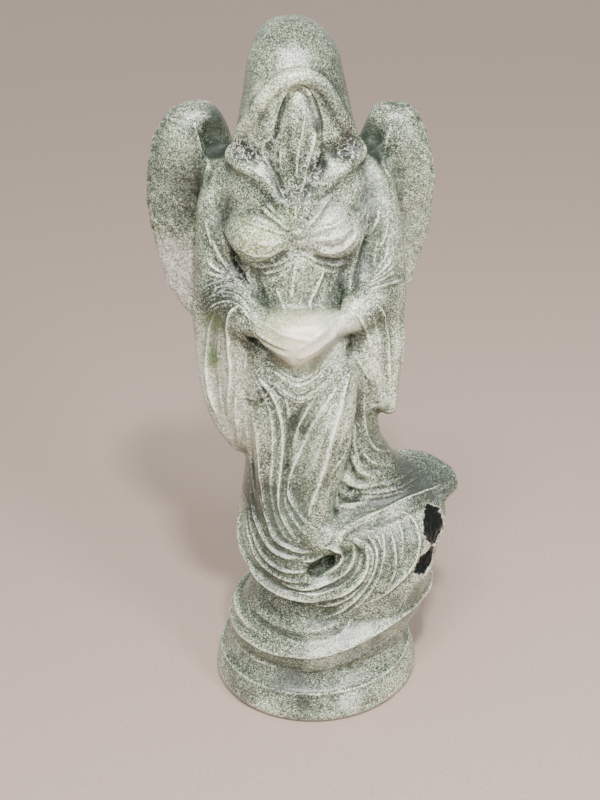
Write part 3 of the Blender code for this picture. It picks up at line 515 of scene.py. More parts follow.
def set_down(points, surface, samples=None):
    """Places and normals along a smooth line through the points, lying on the surface."""
    touched = np.array([touch(point, surface) for point in points])
    if samples is None:
        length = np.linalg.norm(np.diff(touched, axis=0), axis=1).sum()
        samples = max(12, int(length / STEP))
    line = spline(touched, samples)
    hits = [surface.find_nearest(Vector(place)) for place in line]
    places, normals = np.array([hit[0][:] for hit in hits]), np.array([hit[1][:] for hit in hits])
    for _ in range(4):
        places[1:-1] = 0.25 * (places[:-2] + places[2:]) + 0.5 * places[1:-1]
        normals[1:-1] = 0.25 * (normals[:-2] + normals[2:]) + 0.5 * normals[1:-1]
    return places, normals / np.linalg.norm(normals, axis=1, keepdims=True)


def cord(surface, width, height, points, samples=120, around=20):
    """A rounded fold lying half sunk in the surface, as a body."""
    places, normals = set_down(points, surface, samples)
    rows = np.column_stack([places, spread(width, samples), spread(height, samples)])
    return sweep(*rows, facing=normals, samples=samples, around=around)


def crest(u):
    """A sharp crest between hollow flanks."""
    return (1 - u) ** 2


def dome(u):
    """A round rise that meets the surface smoothly."""
    return (1 - u * u) ** 2


def ridge(width, height, *points, ends=0.2):
    """A fold, as carved in cloth. width runs from its crest to its foot."""
    return points, width, height, ends, crest


def swell(width, height, *points, ends=0.2):
    """A round rise, or with a negative height a round hollow."""
    return points, width, height, ends, dome


def cut(width, depth, *points, ends=0.2):
    """A narrow groove with a sharp bottom."""
    return points, width, -depth, ends, crest


def fan(width, height, first, last, count):
    """Ridges from the first line of points to the last, spaced and cut a little unevenly."""
    first, last = np.array(first, float), np.array(last, float)
    strokes = []
    for k in range(count):
        stray = (0.2 + k * GOLDEN) % 1 - 0.5
        share = min(max((k + UNEVEN * stray) / (count - 1), 0), 1)
        line = first + (last - first) * share
        strokes.append(ridge(width * (1 + 0.5 * stray), height * (1 + 0.8 * stray), *line.tolist()))
    return strokes


def carve(made, strokes):
    """Moves the object's surface out along ridges and in along hollows."""
    surface = surface_of(made)
    points, normals = mesh_arrays(made)
    tree = tree_of(points)
    high, low = np.zeros(len(points)), np.zeros(len(points))
    for line, width, height, ends, profile in strokes:
        places, facing = set_down(line, surface)
        samples = len(places)
        way = np.linspace(0, 1, samples)
        fade = climb(np.minimum(way, 1 - way), 0, ends) ** END_BLUNTNESS
        wide = spread(width, samples) * (END_WIDTH + (1 - END_WIDTH) * fade)
        tall = spread(height, samples) * fade
        reach = wide.max() + STEP
        found = set()
        for place in places[::2]:
            found.update(hit[1] for hit in tree.find_range(place, reach))
        near = np.array(sorted(found), int)
        if not len(near):
            continue
        # how far each point lies from the line through its nearest sample
        nearest = np.argmin(((points[near][:, None] - places[None]) ** 2).sum(-1), axis=1)
        gap, out = points[near] - places[nearest], facing[nearest]
        ahead = np.gradient(places, axis=0)[nearest]
        pace = np.linalg.norm(ahead, axis=1, keepdims=True)
        ahead /= pace
        gap -= ahead * np.clip((gap * ahead).sum(-1, keepdims=True), -0.5 * pace, 0.5 * pace)
        gap -= LEVELLING * out * (gap * out).sum(-1, keepdims=True)
        u = np.minimum(np.linalg.norm(gap, axis=1) / wide[nearest], 1)
        # what faces away, as the far side of a thin edge does, is left alone
        same_side = np.clip(3 * (out * normals[near]).sum(-1), 0, 1)
        lift = tall[nearest] * profile(u) * same_side
        high[near] = np.maximum(high[near], lift)
        low[near] = np.minimum(low[near], lift)
    set_points(made, points + normals * (high + low)[:, None])


# ---------------------------------------------------------------- the carving


def deep_hollows():
    """The hollows that divide the masses."""
    inside_cowl = [(1.3, 174), (0.9, 168), (0.4, 161), (-0.2, 154.5), (-0.6, 149), (-0.9, 145)]
    under_bust = [(-14, 131.5), (-9, 130.5), (-3.5, 133), (0, 134), (3, 133), (8.5, 130.2)]
    beside_leg = [(12, 80), (10.2, 73.5), (8.8, 67), (9.6, 63.5)]
    return [
        swell((2.6, 6.5, 9.5, 10, 6, 2.5), -3.2, *inside_cowl, ends=0.12),
        swell((3, 3, 1.6), -0.8, (-8, 157.6), (-11, 156.8), (-13.8, 156.6)),
        swell((3, 3, 1.6), -0.8, (8, 157.6), (11, 156.8), (14, 156)),
        # the wings roll back beside the hood
        swell(
            (3, 4.6, 4.4, 3), -1.8, (-20, 0, 165), (-19.4, 0, 160), (-19, 1, 154), (-20, 0, 146), ends=0.3,
        ),
        swell((2.6, 4, 4, 3), -1.6, (20, 0, 162), (19, 0, 157), (18.8, 1, 151), (20, 0, 143), ends=0.3),
        # and meet the shoulders in a crease
        cut(1.6, 1.6, (-21.4, 3.6, 153.4), (-19.6, 3.4, 154), (-18, 2.6, 154.2), (-16.6, 1.4, 155)),
        cut(1.4, 1.3, (21.6, 3.4, 151.4), (19.8, 3.2, 152), (18, 2.4, 152.4), (16.8, 1.2, 153.4)),
        # between the arms and the body
        swell((1.6, 2.2, 2.2, 1.6), -1.3, (-18.6, 138), (-17.2, 134), (-15.4, 128), (-13.4, 123)),
        swell((1.4, 1.8, 1.8, 1.4), -0.9, (17.2, 136), (16, 131), (14.2, 126), (12.6, 121)),
        swell(2.6, -0.6, *under_bust, (13.5, 131.5)),
        # the mouths of the sleeves
        swell(2, -0.5, (-17.5, 93.5), (-14, 93.5), (-10.6, 95)),
        swell(1.8, -1, (11.6, 109), (11.8, 104.5)),
        # between the leg and the train, and the eye of the swirl
        swell((2, 2.8, 3, 2.2), -0.7, *beside_leg),
        swell((2.4, 4.2, 3.8, 2.2), -1.9, (-3, 46.8), (0.6, 46), (3.4, 46.8), (5.6, 49.2)),
    ]


def veil():
    """The veiled form inside the cowl: a long almond that ends in a point over the breast."""
    return sweep(
        (1.3, -9.4, 173, 0.6, 0.8), (1.3, -9.8, 170, 2.6, 2.2), (0.9, -9.6, 165, 4.6, 3.3),
        (0.3, -9.2, 159, 6, 3.6), (-0.2, -9.4, 153.6, 5.5, 3.2), (-0.4, -10.8, 149, 3.6, 2.8),
        (-0.7, -12.2, 145.4, 2, 2.2), (-0.9, -13, 142.6, 0.7, 1.3),
        samples=72,
    )


def cords(surface):
    """Rims and hems, as rounded cords laid on the body."""
    cowl = [
        (-0.6, 141.8), (-3.4, 146), (-7.2, 150.6), (-11, 153.4), (-14, -7.4, 154.8), (-15.6, -4.4, 156.4),
        (-14.8, -4.6, 159), (-12.6, 162.2), (-9.2, 167), (-6.2, 171.4), (-2.6, 174.5), (1.5, 175.6),
        (5.6, 174.3), (8.6, 170.6), (11, 165.6), (13.4, 161.4), (15.2, -4.8, 158.2), (16, -4.4, 155.6),
        (13.8, -7.6, 153.8), (10.4, 152.6), (7.6, 150.2), (4, 146), (0.8, 142),
    ]
    brim_width = (0.9, 1.2, 1.6, 1.8, 1.9, 2.1, 1.9, 1.8, 1.6, 1.2, 0.9)
    brim_height = (0.2, 0.4, 0.9, 1.5, 1.8, 1.7, 1.8, 1.5, 0.9, 0.4, 0.2)
    dress = [
        (-18.5, -6, 54), (-18.6, -10, 47.5), (-16.4, -15.5, 43), (-12.4, -19, 40.4), (-6, -21.5, 38.4),
        (1, -22.5, 37.8), (7, -22.5, 39.4), (12, -22, 42.8), (14.8, -21, 47), (14.6, -20.5, 51),
        (11.8, -20.5, 54.6),
    ]
    hem = [
        (40, 0.5, 58.2), (31, -7, 59.4), (22.3, -12.5, 59.2), (14.5, -17, 58.4), (8.5, -20, 56.8),
        (6, -21.5, 52.6),
    ]
    hooks = (
        [
            (12, -9.8, 75.4), (12.6, -10.4, 72.8), (13.8, -10.8, 70.4), (15.4, -10.3, 68.6),
            (17.8, -10, 67.2),
        ],
        [(9.8, -11, 71), (10.1, -10.5, 68), (11.4, -10.3, 65.9), (13.6, -10.1, 64.8), (16.2, -10, 64.5)],
        [
            (7.8, -14, 66.4), (7.2, -14.8, 63.6), (8.2, -14.6, 61.6), (11, -13.5, 60.9), (14, -12.3, 61),
            (17, -11, 62),
        ],
    )
    hook_width, hook_height = (0.5, 1, 1.1, 0.9, 0.4), (0.3, 1.1, 1.3, 1, 0.3)
    return [
        *[cord(surface, hook_width, hook_height, line) for line in hooks],
        cord(surface, brim_width, brim_height, cowl, samples=300),
        cord(surface, (0.8, 1.2, 1.2, 1.2, 1), (1, 1.8, 1.8, 1.6, 1), dress, samples=200),
        cord(surface, (1, 1.1, 1.3, 1.3, 1), (0.5, 0.6, 0.7, 0.9, 0.8), hem, samples=160),
    ]


def hood_detail():
    """The opening of the cowl, creases of the veiled form and the hollows in the cowl's corners."""
    return [
        cut(0.9, 0.9, (1.2, 174), (-0.5, 172.6), (-1.8, 170.4), (-3.2, 167), (-4.2, 163.6), (-4.9, 160.4)),
        cut(0.9, 0.9, (1.2, 174), (3, 173), (4.6, 170.8), (5.5, 168), (6.2, 164.8), (6.6, 161)),
        ridge(0.8, 0.6, (2.8, 169.5), (2, 164), (1, 159.9), (0.2, 155.4), (0.2, 151)),
        ridge(1.2, 0.9, (5, 163.4), (4.2, 160.6), (3.4, 157.6), (2.4, 154.4), (1.6, 151), (0.4, 148)),
        ridge(0.7, 0.4, (-3.2, 161), (-3.6, 157), (-3.4, 153)),
        cut(0.8, 0.4, (3.4, 163), (2.6, 159.6), (1.6, 155.6)),
        swell(1.6, -0.4, (-1.4, 166), (-1.6, 160), (-1.4, 154)),
        ridge(0.7, 0.5, (-5, 161.6), (-7, 160.6), (-7.8, 158.4), (-7.2, 155.6), (-5.6, 153.4)),
        ridge(0.6, 0.3, (6.8, 160.6), (7.6, 158), (7, 155.4)),
        swell(1, -0.35, (6.4, 157.4), (6, 155.4), (5.4, 153.6)),
        swell((1.6, 1.5, 0.9), -0.3, (-9.6, 157), (-11.4, 156.6), (-12.8, 156.8)),
        swell((1.6, 1.5, 0.9), -0.3, (9.4, 157.2), (11.4, 156.6), (13, 156.2)),
        swell(1.4, -0.3, (-5, 153.6), (-3.9, 150.6), (-2.8, 147.4)),
        ridge(0.7, 0.4, (-0.6, 146.4), (-0.6, 143.8), (-0.5, 141.6)),
        # tool marks in the corners
        ridge(0.5, 0.3, (-13, 157.6), (-11, 156.8), (-9.4, 157.4)),
        ridge(0.5, 0.3, (9.2, 157.8), (11.4, 157.2), (13.6, 156.8)),
        # the edge of each wing's roll
        ridge(0.9, 0.5, (-24, 0, 164), (-22.4, 0, 160), (-22.6, 0, 154), (-24.4, 0, 149.6)),
        ridge(0.9, 0.4, (23.6, 0, 161), (22.4, 0, 157), (22.8, 0, 151), (24.6, 0, 146)),
    ]


def bodice():
    """The neckline, the bust and the lines over the waist."""
    right_cup = [(-17.4, 137.6), (-15.9, 133.8), (-13.6, 131.6), (-11.1, 130.8), (-8.2, 131.2)]
    left_cup = [(3.2, 133.2), (6.1, 131.2), (9.5, 130.2), (12.7, 131.2), (15.2, 134.8)]
    return [
        swell(1.6, -0.5, *right_cup, (-5.4, 132.6), (-2.6, 134)),
        swell(1.6, -0.5, *left_cup, (15.6, 138)),
        swell(2, 0.5, (-0.6, 140.4), (-0.5, 137.6), ends=0.4),
        swell(1.4, -0.3, (-1, 134.6), (0.1, 134), (1.2, 134.4), ends=0.3),
        ridge(1, 0.9, (-9, 145.4), (-6.6, 143.1), (-4.7, 141.7), (-2.4, 139.6)),
        ridge(0.7, 0.6, (-7.6, 146.2), (-5.2, 143.6), (-2.6, 141)),
        ridge(1.5, 1.2, (8.4, 147.4), (5.9, 145), (4.3, 142.7), (1.5, 139.8)),
        ridge(0.8, 0.5, (6, 146.8), (4.2, 144.2), (2.4, 141.8)),
        # cloth drawn from between the breasts out over each
        ridge(1.1, 0.6, (2.2, 138.6), (5.4, 139.8), (9.2, 140.6), (12.6, 142)),
        ridge(1, 0.5, (2.2, 137.2), (6, 137.4), (10, 138), (13.4, 140)),
        swell(1.3, -0.7, (4.6, 135.8), (8, 135.2), (11.2, 136.2), (13.4, 138.6)),
        ridge(0.9, 0.6, (4.2, 134.6), (8.4, 133.8), (12, 135.4), (14.2, 138.6)),
        ridge(1, 0.5, (-3.2, 138.4), (-6.6, 140), (-10.6, 141.4), (-14.2, 142.2)),
        ridge(0.9, 0.4, (-3.4, 136.8), (-7.4, 136.6), (-11.4, 137.6)),
        ridge(0.9, 0.4, (-4.4, 134.6), (-8.4, 133.6), (-12.4, 134.2), (-15.4, 136.4)),
        # gathers under the bust, drawn to its middle
        ridge(0.9, 0.5, (-0.8, 133), (-5, 130.6), (-9.6, 129.4), (-13, 129.6)),
        ridge(0.9, 0.5, (-1.4, 131.6), (-5.6, 128.8), (-10.4, 127.4)),
        ridge(0.8, 0.4, (-2, 130), (-5.6, 126.8), (-9.4, 125.2)),
        ridge(0.9, 0.5, (1.2, 133), (5, 130.4), (9.4, 128.8), (12.6, 129)),
        ridge(0.8, 0.4, (1.6, 131.4), (5.2, 128.4), (9.6, 126.6)),
        ridge(0.9, 0.7, (-0.8, 131.8), (-1.6, 127.6), (-2.2, 123.8), (-2.6, 120.6)),
        ridge(0.8, 0.6, (-6.2, 124.4), (-5.2, 121.2), (-4.2, 118.8)),
        ridge(1.2, 1.1, (6.2, 129.4), (4.8, 126.4), (3.4, 123.2), (2, 120.6), (2.4, 118.6)),
        ridge(0.7, 0.4, (-9.8, 127.2), (-8.8, 123.6), (-7.6, 120.6)),
        ridge(0.7, 0.4, (9.6, 127.4), (8, 124.2), (6.8, 121.2)),
    ]


def arms_detail():
    """Creases of both arms, gathers at the elbows, and the sleeves' falls and hems."""
    high_gather = [(-26.4, 123.4), (-22.6, 126), (-18.8, 126.6), (-14.8, 125), (-12, 121.8)]
    low_gather = [(-24.8, 115.6), (-21.6, 119.4), (-17.6, 120.8), (-14.4, 119.4), (-12.4, 116.6)]
    right_front = [
        (-13.4, 121.8), (-15.6, 120.8), (-17.6, 119.2), (-18.4, 117), (-18.8, 113.4), (-19, 108),
        (-18.9, 103), (-19.4, 98), (-20.2, 92), (-20.6, 86),
    ]
    left_elbow = [(22.6, 132.2), (20.4, 128), (17.6, 125.2)]
    left_back = [(18.4, 119.6), (20.2, 116.4), (21, 111.2), (21.6, 106.4), (21.9, 100.4), (22.3, 93)]
    return [
        cut(1.2, 1.1, (-18.9, 138), (-17.5, 134.6), (-16.2, 130), (-14.8, 126.8), (-13, 123.6)),
        cut(1.2, 0.7, (17.4, 137), (15.9, 131.5), (14.5, 127.4), (13.4, 123.6), (12.4, 121.4)),
        ridge(0.9, 0.8, (-21.8, 135.8), (-20.4, 132.4), (-18.9, 129.6), (-18, 127.8)),
        ridge(0.8, 0.7, (-23.2, 130.6), (-21.5, 128.8), (-19.8, 127.7), (-18.2, 127.6)),
        ridge(0.8, 0.6, (-23.6, 127.8), (-21, 126.6), (-18.4, 126.3)),
        swell(1, -0.7, (-21.9, 131.8), (-20.4, 129.4), (-19, 128.4)),
        ridge(0.7, 0.5, (-23.2, 141), (-22.4, 137), (-21.6, 132.8)),
        ridge(0.9, 0.7, (20.4, 142.2), (19.5, 138.4), (17.5, 134.8)),
        ridge(0.8, 0.6, (22.4, 139.6), (21.6, 135), (19.6, 131.4)),
        ridge(0.7, 0.5, (19.9, 134.2), (18.8, 130.4), (18.4, 127.6)),
        *fan(0.9, 0.7, left_elbow, [(25.2, 123.4), (21.6, 123), (16.4, 122.6)], 5),
        swell(1, -0.5, (9.4, 120.4), (9, 118.4)),
        *fan(0.9, 0.65, high_gather, low_gather, 8),
        ridge(1.3, 1.3, *right_front),
        ridge(
            1.3, 1.3, (-21.8, 118.6), (-23.4, 113), (-24.7, 106.7), (-25.4, 100.7), (-25, 94), (-23.8, 87),
        ),
        ridge(0.8, 0.5, (-21.2, 113), (-22, 106), (-22.2, 98), (-22, 91), (-21, 82)),
        ridge(0.7, 0.5, (-15.4, 108.4), (-14.9, 105.2), (-15.6, 101)),
        ridge(0.8, 0.6, (-13, 101), (-11.4, 97.8), (-10.2, 95.6)),
        ridge(0.9, 0.35, (-17.2, 94.6), (-14.5, 94.2), (-11.3, 95.2)),
        swell(1.5, -0.4, (-16, 92.6), (-14.2, 92.2), (-12.2, 93)),
        ridge(0.9, 0.7, (-18.2, 94.6), (-18.5, 89.5), (-18.3, 84), (-18, 77)),
        cut(0.9, 0.4, (-16.6, 116.6), (-14, 112.6), (-10.8, 109.2), (-7.4, 107)),
        ridge(0.8, 0.5, (-17, 114.4), (-14.6, 110.8), (-11.4, 107.6)),
        ridge(1.3, 1.3, *left_back),
        ridge(0.9, 0.7, (13.3, 118.4), (15.2, 114.8), (16.6, 110), (17.4, 105)),
        ridge(0.7, 0.5, (16.2, 118.6), (18.2, 114.8), (19.2, 109), (19.7, 102)),
        cut(
            0.9, 0.3, (12.4, 113.6), (12, 110), (12, 106.2), (13.4, 103.2), (14.7, 100.2), (16.1, 96.9),
            (19, 88),
        ),
        ridge(0.8, 0.5, (13.8, 104), (15.2, 100.6), (16.8, 97)),
        ridge(0.7, 0.5, (24.4, -6, 112), (24.8, -5, 104), (24.4, -4, 96)),
        swell(0.8, -0.8, (18.2, 89), (19.6, 88)),
        swell(0.7, -0.6, (17.6, 86.6), (18.6, 86.2)),
    ]


def hands_detail():
    """The fingers, barely parted under smooth cloth, the left hand's over the right's."""
    return [
        ridge(1, 0.45, (-10.4, 117.6), (-5.4, 115.4), (0.2, 113.8), (4.4, 113.4)),
        ridge(1, 0.5, (-12.2, 115.6), (-8, 113.2), (-3.2, 111.4)),
        ridge(0.9, 0.45, (-11.2, 113.4), (-7.2, 111), (-3.4, 109.2)),
        ridge(1, 0.45, (8.2, 117.4), (4.6, 115), (0.4, 112.6), (-2.4, 111)),
        ridge(1.1, 0.6, (9.4, 115.2), (5.8, 112.4), (1.4, 110), (-2, 108.8)),
        ridge(0.9, 0.45, (8.8, 112.8), (5.2, 110.2), (1.6, 108)),
        cut(0.6, 0.25, (-11.8, 114.6), (-7.6, 112.2), (-3.4, 110.4)),
        cut(0.6, 0.25, (8.8, 116.4), (5.2, 113.6), (0.8, 111.2)),
    ]


def skirt_detail():
    """Swags under the hands and the long folds over both legs, down into the swirl."""
    high_swag = [
        (-10.4, 105.8), (-6.6, 103.6), (-3.6, 101.7), (-1.4, 101), (1.4, 102.2), (4.6, 104.8), (8.8, 109.4),
    ]
    low_swag = [
        (-9.4, 100.4), (-6.4, 97.6), (-3.6, 95.7), (-1.3, 94.9), (1.4, 96.2), (4.2, 98.6), (8.8, 103.4),
    ]
    left_thigh = [(11.8, 103.2), (10.2, 100), (9.2, 96.9), (8.4, 93.4), (7.4, 90.1), (6.2, 86), (4.5, 78.7)]
    left_inner = [
        (10.4, 101.6), (7.6, 98.7), (5.8, 96.1), (4, 93.2), (2.1, 89.5), (-0.1, 84.7), (-2.4, 79.5),
    ]
    right_thigh = [
        (-12.7, 102.6), (-11.5, 100.3), (-9.3, 98.1), (-7.9, 95.4), (-7, 92), (-6.4, 88), (-6.4, 84),
    ]
    return [
        *fan(0.9, 0.65, high_swag, low_swag, 6),
        ridge(2, 1.5, *left_thigh, (2.8, 72.9), (0.4, 65.6), (-0.8, 61.4)),
        ridge(1.4, 1.1, *left_inner, (-4.6, 74.1), (-5.6, 68.8), (-4.4, 64.4), (-1.8, 60.6), (1.2, 58.4)),
        ridge(1, 0.3, (9.4, 103.4), (7.4, 99.6), (6.5, 95), (5.4, 90), (3.6, 84), (1.2, 77)),
        ridge(1, 0.7, (4, 98.8), (1, 94.1), (-1.5, 89.6), (-3, 85.3), (-3.9, 80.4)),
        swell(2.2, -0.8, (0.2, 94.4), (-3.8, 88.8), (-4.7, 83.1), (-5.8, 77.3), (-7.1, 71.8)),
        ridge(
            1.5, 1.2, *right_thigh, (-6.7, 80), (-7.3, 75.2), (-8.1, 70.2), (-8.3, 65.6), (-7.8, 61.8),
            (-6, 57.4), (-3.2, 54.2),
        ),
        ridge(0.9, 0.6, (-5.3, 96.8), (-4.6, 93.4), (-4.4, 90)),
        ridge(
            1, 0.6, (-10.2, 96.4), (-9.2, 91), (-9, 84), (-9.6, 76), (-10.2, 69), (-9.6, 62), (-7.6, 56.6),
            (-3.6, 52.6),
        ),
        ridge(
            1.1, 0.8, (-14.6, 93.1), (-13.6, 89), (-12.9, 84), (-12.9, 77), (-12.6, 70), (-12, 63),
            (-10.6, 56.4),
        ),
        ridge(0.9, 0.6, (-16.4, 90), (-15.8, 82), (-15.5, 75), (-14.8, 68), (-14, 61.6)),
        ridge(0.9, 0.6, (-5, 76), (-6.4, 70), (-6.6, 65.4), (-5.4, 61.6), (-3, 58), (0.4, 55.8)),
        ridge(
            1.3, 1, (-13.6, 68), (-12.2, 62), (-10.7, 56.4), (-8.9, 53.8), (-6.2, 52.6), (-3.3, 51.5),
            (0.4, 51.3),
        ),
        ridge(
            1.2, 1, (-16.2, 65.4), (-15.4, 60.6), (-14.3, 57.4), (-13, 54.2), (-11.3, 51.8), (-9, 50.5),
            (-6, 49.8), (-1, 49.7),
        ),
        ridge(
            1, 0.8, (-17, 62.4), (-16.4, 56.4), (-15.2, 52), (-12.8, 48.6), (-9.4, 46.6), (-5, 45.8),
            (0, 45.6),
        ),
        ridge(
            1.1, 0.8, (-17.6, 60), (-17.2, 53.8), (-16, 49.4), (-13.8, 46.6), (-10.4, 44.4), (-6, 43.2),
            (-1, 42.8),
        ),
        ridge(0.9, 0.6, (11.4, 86.8), (10.7, 83.5), (9.6, 80.6), (6.9, 76.6), (4.8, 72)),
        ridge(1, 0.6, (12.6, 92), (12.4, 84), (12.6, 77), (14.2, 72), (18, 69.2)),
        ridge(1.1, 0.7, (15.4, 94), (15.4, 86), (16.2, 79), (19, 73.6), (24, 70.2)),
    ]


def swirl_detail():
    """The arcs that wind round the swirl, the hooks beside the leg and the shelf of the train."""
    ring = [
        (-18, 45.6), (-16.6, 42.8), (-13.6, 40.6), (-9.6, 38.9), (-4, 37.6), (1.4, 37.2), (6.2, 38.6),
        (10.4, 41.2), (13.6, 44.8), (15, 48.4), (14.6, 51.8), (12.4, 54.4),
    ]
    inner = [
        (-9.4, 42), (-5.6, 41.2), (-1.9, 41), (3.1, 41.8), (6.2, 43), (9, 45), (11, 48), (11.4, 51),
        (10.4, 53.6),
    ]
    return [
        ridge(1.2, 0.8, *ring),
        ridge(1.3, 1, *inner),
        ridge(
            0.8, 0.6, (-6.8, 39.8), (-1, 38.8), (4.2, 39.6), (8.6, 41.8), (11.8, 45), (13.2, 49),
            (12.8, 52.2),
        ),
        ridge(1.3, 1.3, (3, 53.6), (5, 53.4), (7, 52.4), (8.1, 49.8), (7.7, 47.4), (5.6, 45.2), (2.2, 44)),
        swell((2, 3, 2.6, 1.4), -1.3, (-1.8, 45.4), (1.2, 45.4), (4.2, 47.2), (5.6, 49.8)),
        ridge(0.8, 0.7, (-3.4, 49), (-0.4, 48.8), (1.8, 49.6), (3.4, 51.2)),
        ridge(
            1.4, 1.1, (0.2, 28.8), (3.6, 29.8), (6.7, 32), (9.5, 34.9), (12, 37.8), (14.5, 41.4),
            (16.4, 45), (17.4, 49.2), (16.4, 53), (13.6, 55.4),
        ),
        ridge(
            1.1, 0.9, (-1.4, 33.2), (3, 33.8), (7.4, 36), (11, 39), (13.8, 42.8), (15.4, 46.4), (15.8, 50),
            (14.4, 53), (11.8, 54.6),
        ),
        ridge(
            0.9, 0.6, (6.4, 30), (10.4, 33), (14, 37), (17, 41.8), (18.6, 46), (19, 50), (17.6, 54),
            (14.4, 56.4),
        ),
        ridge(0.9, 0.7, (19.2, 54.6), (19.5, 50.4), (19, 46.4)),
        ridge(1, 0.9, (21.5, 54.6), (22.4, 49.6), (22.2, 44.4), (20.4, 39.6)),
        ridge(1, 0.5, (23.8, 57), (24.6, 53), (24.5, 49.4), (23.6, 45)),
        ridge(
            1.4, 1, (23.8, 58.4), (27.2, 56.6), (29, 52.6), (28.8, 48.6), (26.8, 44), (23, 40.6),
            (18.8, 37.4), (14.4, 34.6),
        ),
        # the hollows between the hooks
        swell(1.2, -0.5, (13.8, -9.8, 74.4), (15.2, -9.8, 71.6), (17.4, -9.4, 69.8), (20.4, -9, 68.8)),
        swell(1.3, -0.6, (10.9, -11, 71.8), (11.8, -10.6, 69), (13.6, -10.3, 66.9), (16.4, -10, 65.8)),
        swell(1.5, -0.9, (8.6, -13, 67), (9.3, -12.6, 64.2), (11.4, -12, 62.9), (14.8, -11, 62.8)),
        ridge(1, 0.7, (14.6, -9.6, 75.6), (16.6, -9.4, 72.6), (19.6, -8.8, 70.6)),
        ridge(
            0.8, 0.7, (39.6, 0.5, 58.8), (31, -7, 60.2), (22.3, -12.2, 60), (14.5, -16.6, 59.2),
            (9.4, -19.6, 58),
        ),
        cut(1.2, 0.5, (33.6, -7, 56.8), (27, -12.5, 57.2), (20.4, -16, 56.8), (14, -19, 56.4)),
        *fan(1.2, 0.4, [(14, 65.2), (22, 64.6), (32, 63.6)], [(13, 61.6), (22, 61.4), (33, 61)], 3),
    ]


def circle(radius, z):
    """Points of a ring about Z, which overlaps itself a little behind."""
    turns = np.radians(np.linspace(90, 460, 38))
    return [(radius * math.cos(turn), radius * math.sin(turn), z) for turn in turns]


def base_detail():
    """The edges of the foot and collar, and the hollow round the top of the collar."""
    rim = tilted(circle(COLLAR_RADIUS, COLLAR_HEIGHT)).tolist()
    under = tilted(circle(NECK_RADIUS + 1.2, COLLAR_HEIGHT - 6.4)).tolist()
    return [
        ridge(1, 0.5, *rim, ends=0.02),
        ridge(0.8, 0.3, *under, ends=0.02),
        ridge(0.9, 0.4, *circle(FOOT_RADIUS - 2.1, FOOT_HEIGHT + 0.3), ends=0.02),
        swell(
            1.5, -0.7, (-20, -7.4, 25.7), (-13.3, -17.8, 25.4), (-4.4, -23, 25.2), (4.2, -23.4, 26.4),
            (9, -22, 29),
        ),
        swell(3.6, -0.9, (-17.5, -12, 31), (-9, -21, 31), (0, -23, 31), (7, -22, 33)),
    ]


def feathers():
    """Long feathers down the back of each wing, under two rows of short ones."""
    strokes = []
    for side in (-1, 1):
        for root, bow, tip, end in (
            (16, 14.5, 11.5, 93), (20, 19.5, 15.5, 99), (24, 24.5, 20.5, 105), (28, 29.5, 26, 112),
            (32, 33.5, 31, 121),
        ):
            line = [(side * x, BEHIND, z) for x, z in ((root, 148), (bow, 132), (tip, end))]
            strokes.append(swell((2, 2.8, 2.4, 1.4), 1.3, *line, ends=0.12))
            strokes.append(ridge(0.5, 0.35, *line, ends=0.12))
        for level, reach in ((152, (17, 33)), (159, (20, 31))):
            for x in np.arange(*reach, 3.4):
                line = [(side * x, BEHIND, level + 3), (side * (x + 0.4), BEHIND, level - 4)]
                strokes.append(swell((1.4, 1.9, 1.7), 1, *line, ends=0.3))
    return strokes


def back_folds():
    """Plain folds of the cape and of the skirt behind."""
    cape = [(-9, BEHIND, 150), (-10, BEHIND, 128), (-9, BEHIND, 104)]
    fall_right = [(-12, BEHIND, 94), (-13, BEHIND, 72), (-18, BEHIND, 46)]
    fall_left = [(9, BEHIND, 92), (10, BEHIND, 70), (24, BEHIND, 44)]
    mirrored = [(-x, y, z) for x, y, z in cape]
    return fan(3, 1.4, cape, mirrored, 4) + fan(3.4, 1.6, fall_right, fall_left, 6)


# ---------------------------------------------------------------- the black inclusion

# Two pockets in the swirl's left side: centre, half sizes, and how much they narrow upwards.
POCKETS = (
    ((34, -9.4, 52), (5.4, 6.8, 6.8), 0.6), ((32, -13.2, 42.2), (5.4, 6.6, 5), 0.1),
)
POCKET_DEPTH = 2.2
POCKET_REACH = 1.6  # how far about a pocket the stone is looked at, in half sizes
SHARD = 2.2  # width of a broken facet
SHARD_STEP = 0.7  # how much deeper a facet is in its middle than at its edges


def rough(place, length):
    """A number from -1 to 1 that comes and goes over about that length."""
    return noise.noise(place / length)


def from_pocket(points, centre, half, narrowing):
    """How far points lie from a pocket's centre, 1 at its edge. It narrows upwards."""
    gap = (np.atleast_2d(points) - centre) / half
    gap[:, :2] /= 1 - narrowing * np.clip(gap[:, 2:], 0, 0.9)
    return np.linalg.norm(gap, axis=1)


def break_pockets(body):
    """Breaks the pockets open into shards, and keeps on the mesh where the black stone shows."""
    points, _ = mesh_arrays(body)
    dark = np.zeros(len(points), np.float32)
    for pocket in POCKETS:
        gap = from_pocket(points, *pocket)
        for k in np.flatnonzero(gap < POCKET_REACH):
            place = Vector(points[k].tolist())
            nearest, seeds = noise.voronoi(place / SHARD)
            shard = from_pocket(np.array(seeds[0]) * SHARD, *pocket)[0]
            away = 0.5 * gap[k] + 0.5 * shard + 0.1 * rough(place, 1.2)
            deep = POCKET_DEPTH * max(1 - away**2, 0) * (0.6 + nearest[0])
            deep += SHARD_STEP * max(min(4 * (1.1 - away), 1), 0) * (nearest[1] - nearest[0])
            inward = Vector((-points[k][0], -0.5 * points[k][1], 0)).normalized()
            points[k] += np.array(inward) * deep
            dark[k] = max(dark[k], min(max(3 * (1.05 - away), 0), 1))
    set_points(body, points)
    keep(body, "inclusion", dark)


# ---------------------------------------------------------------- the finished stone


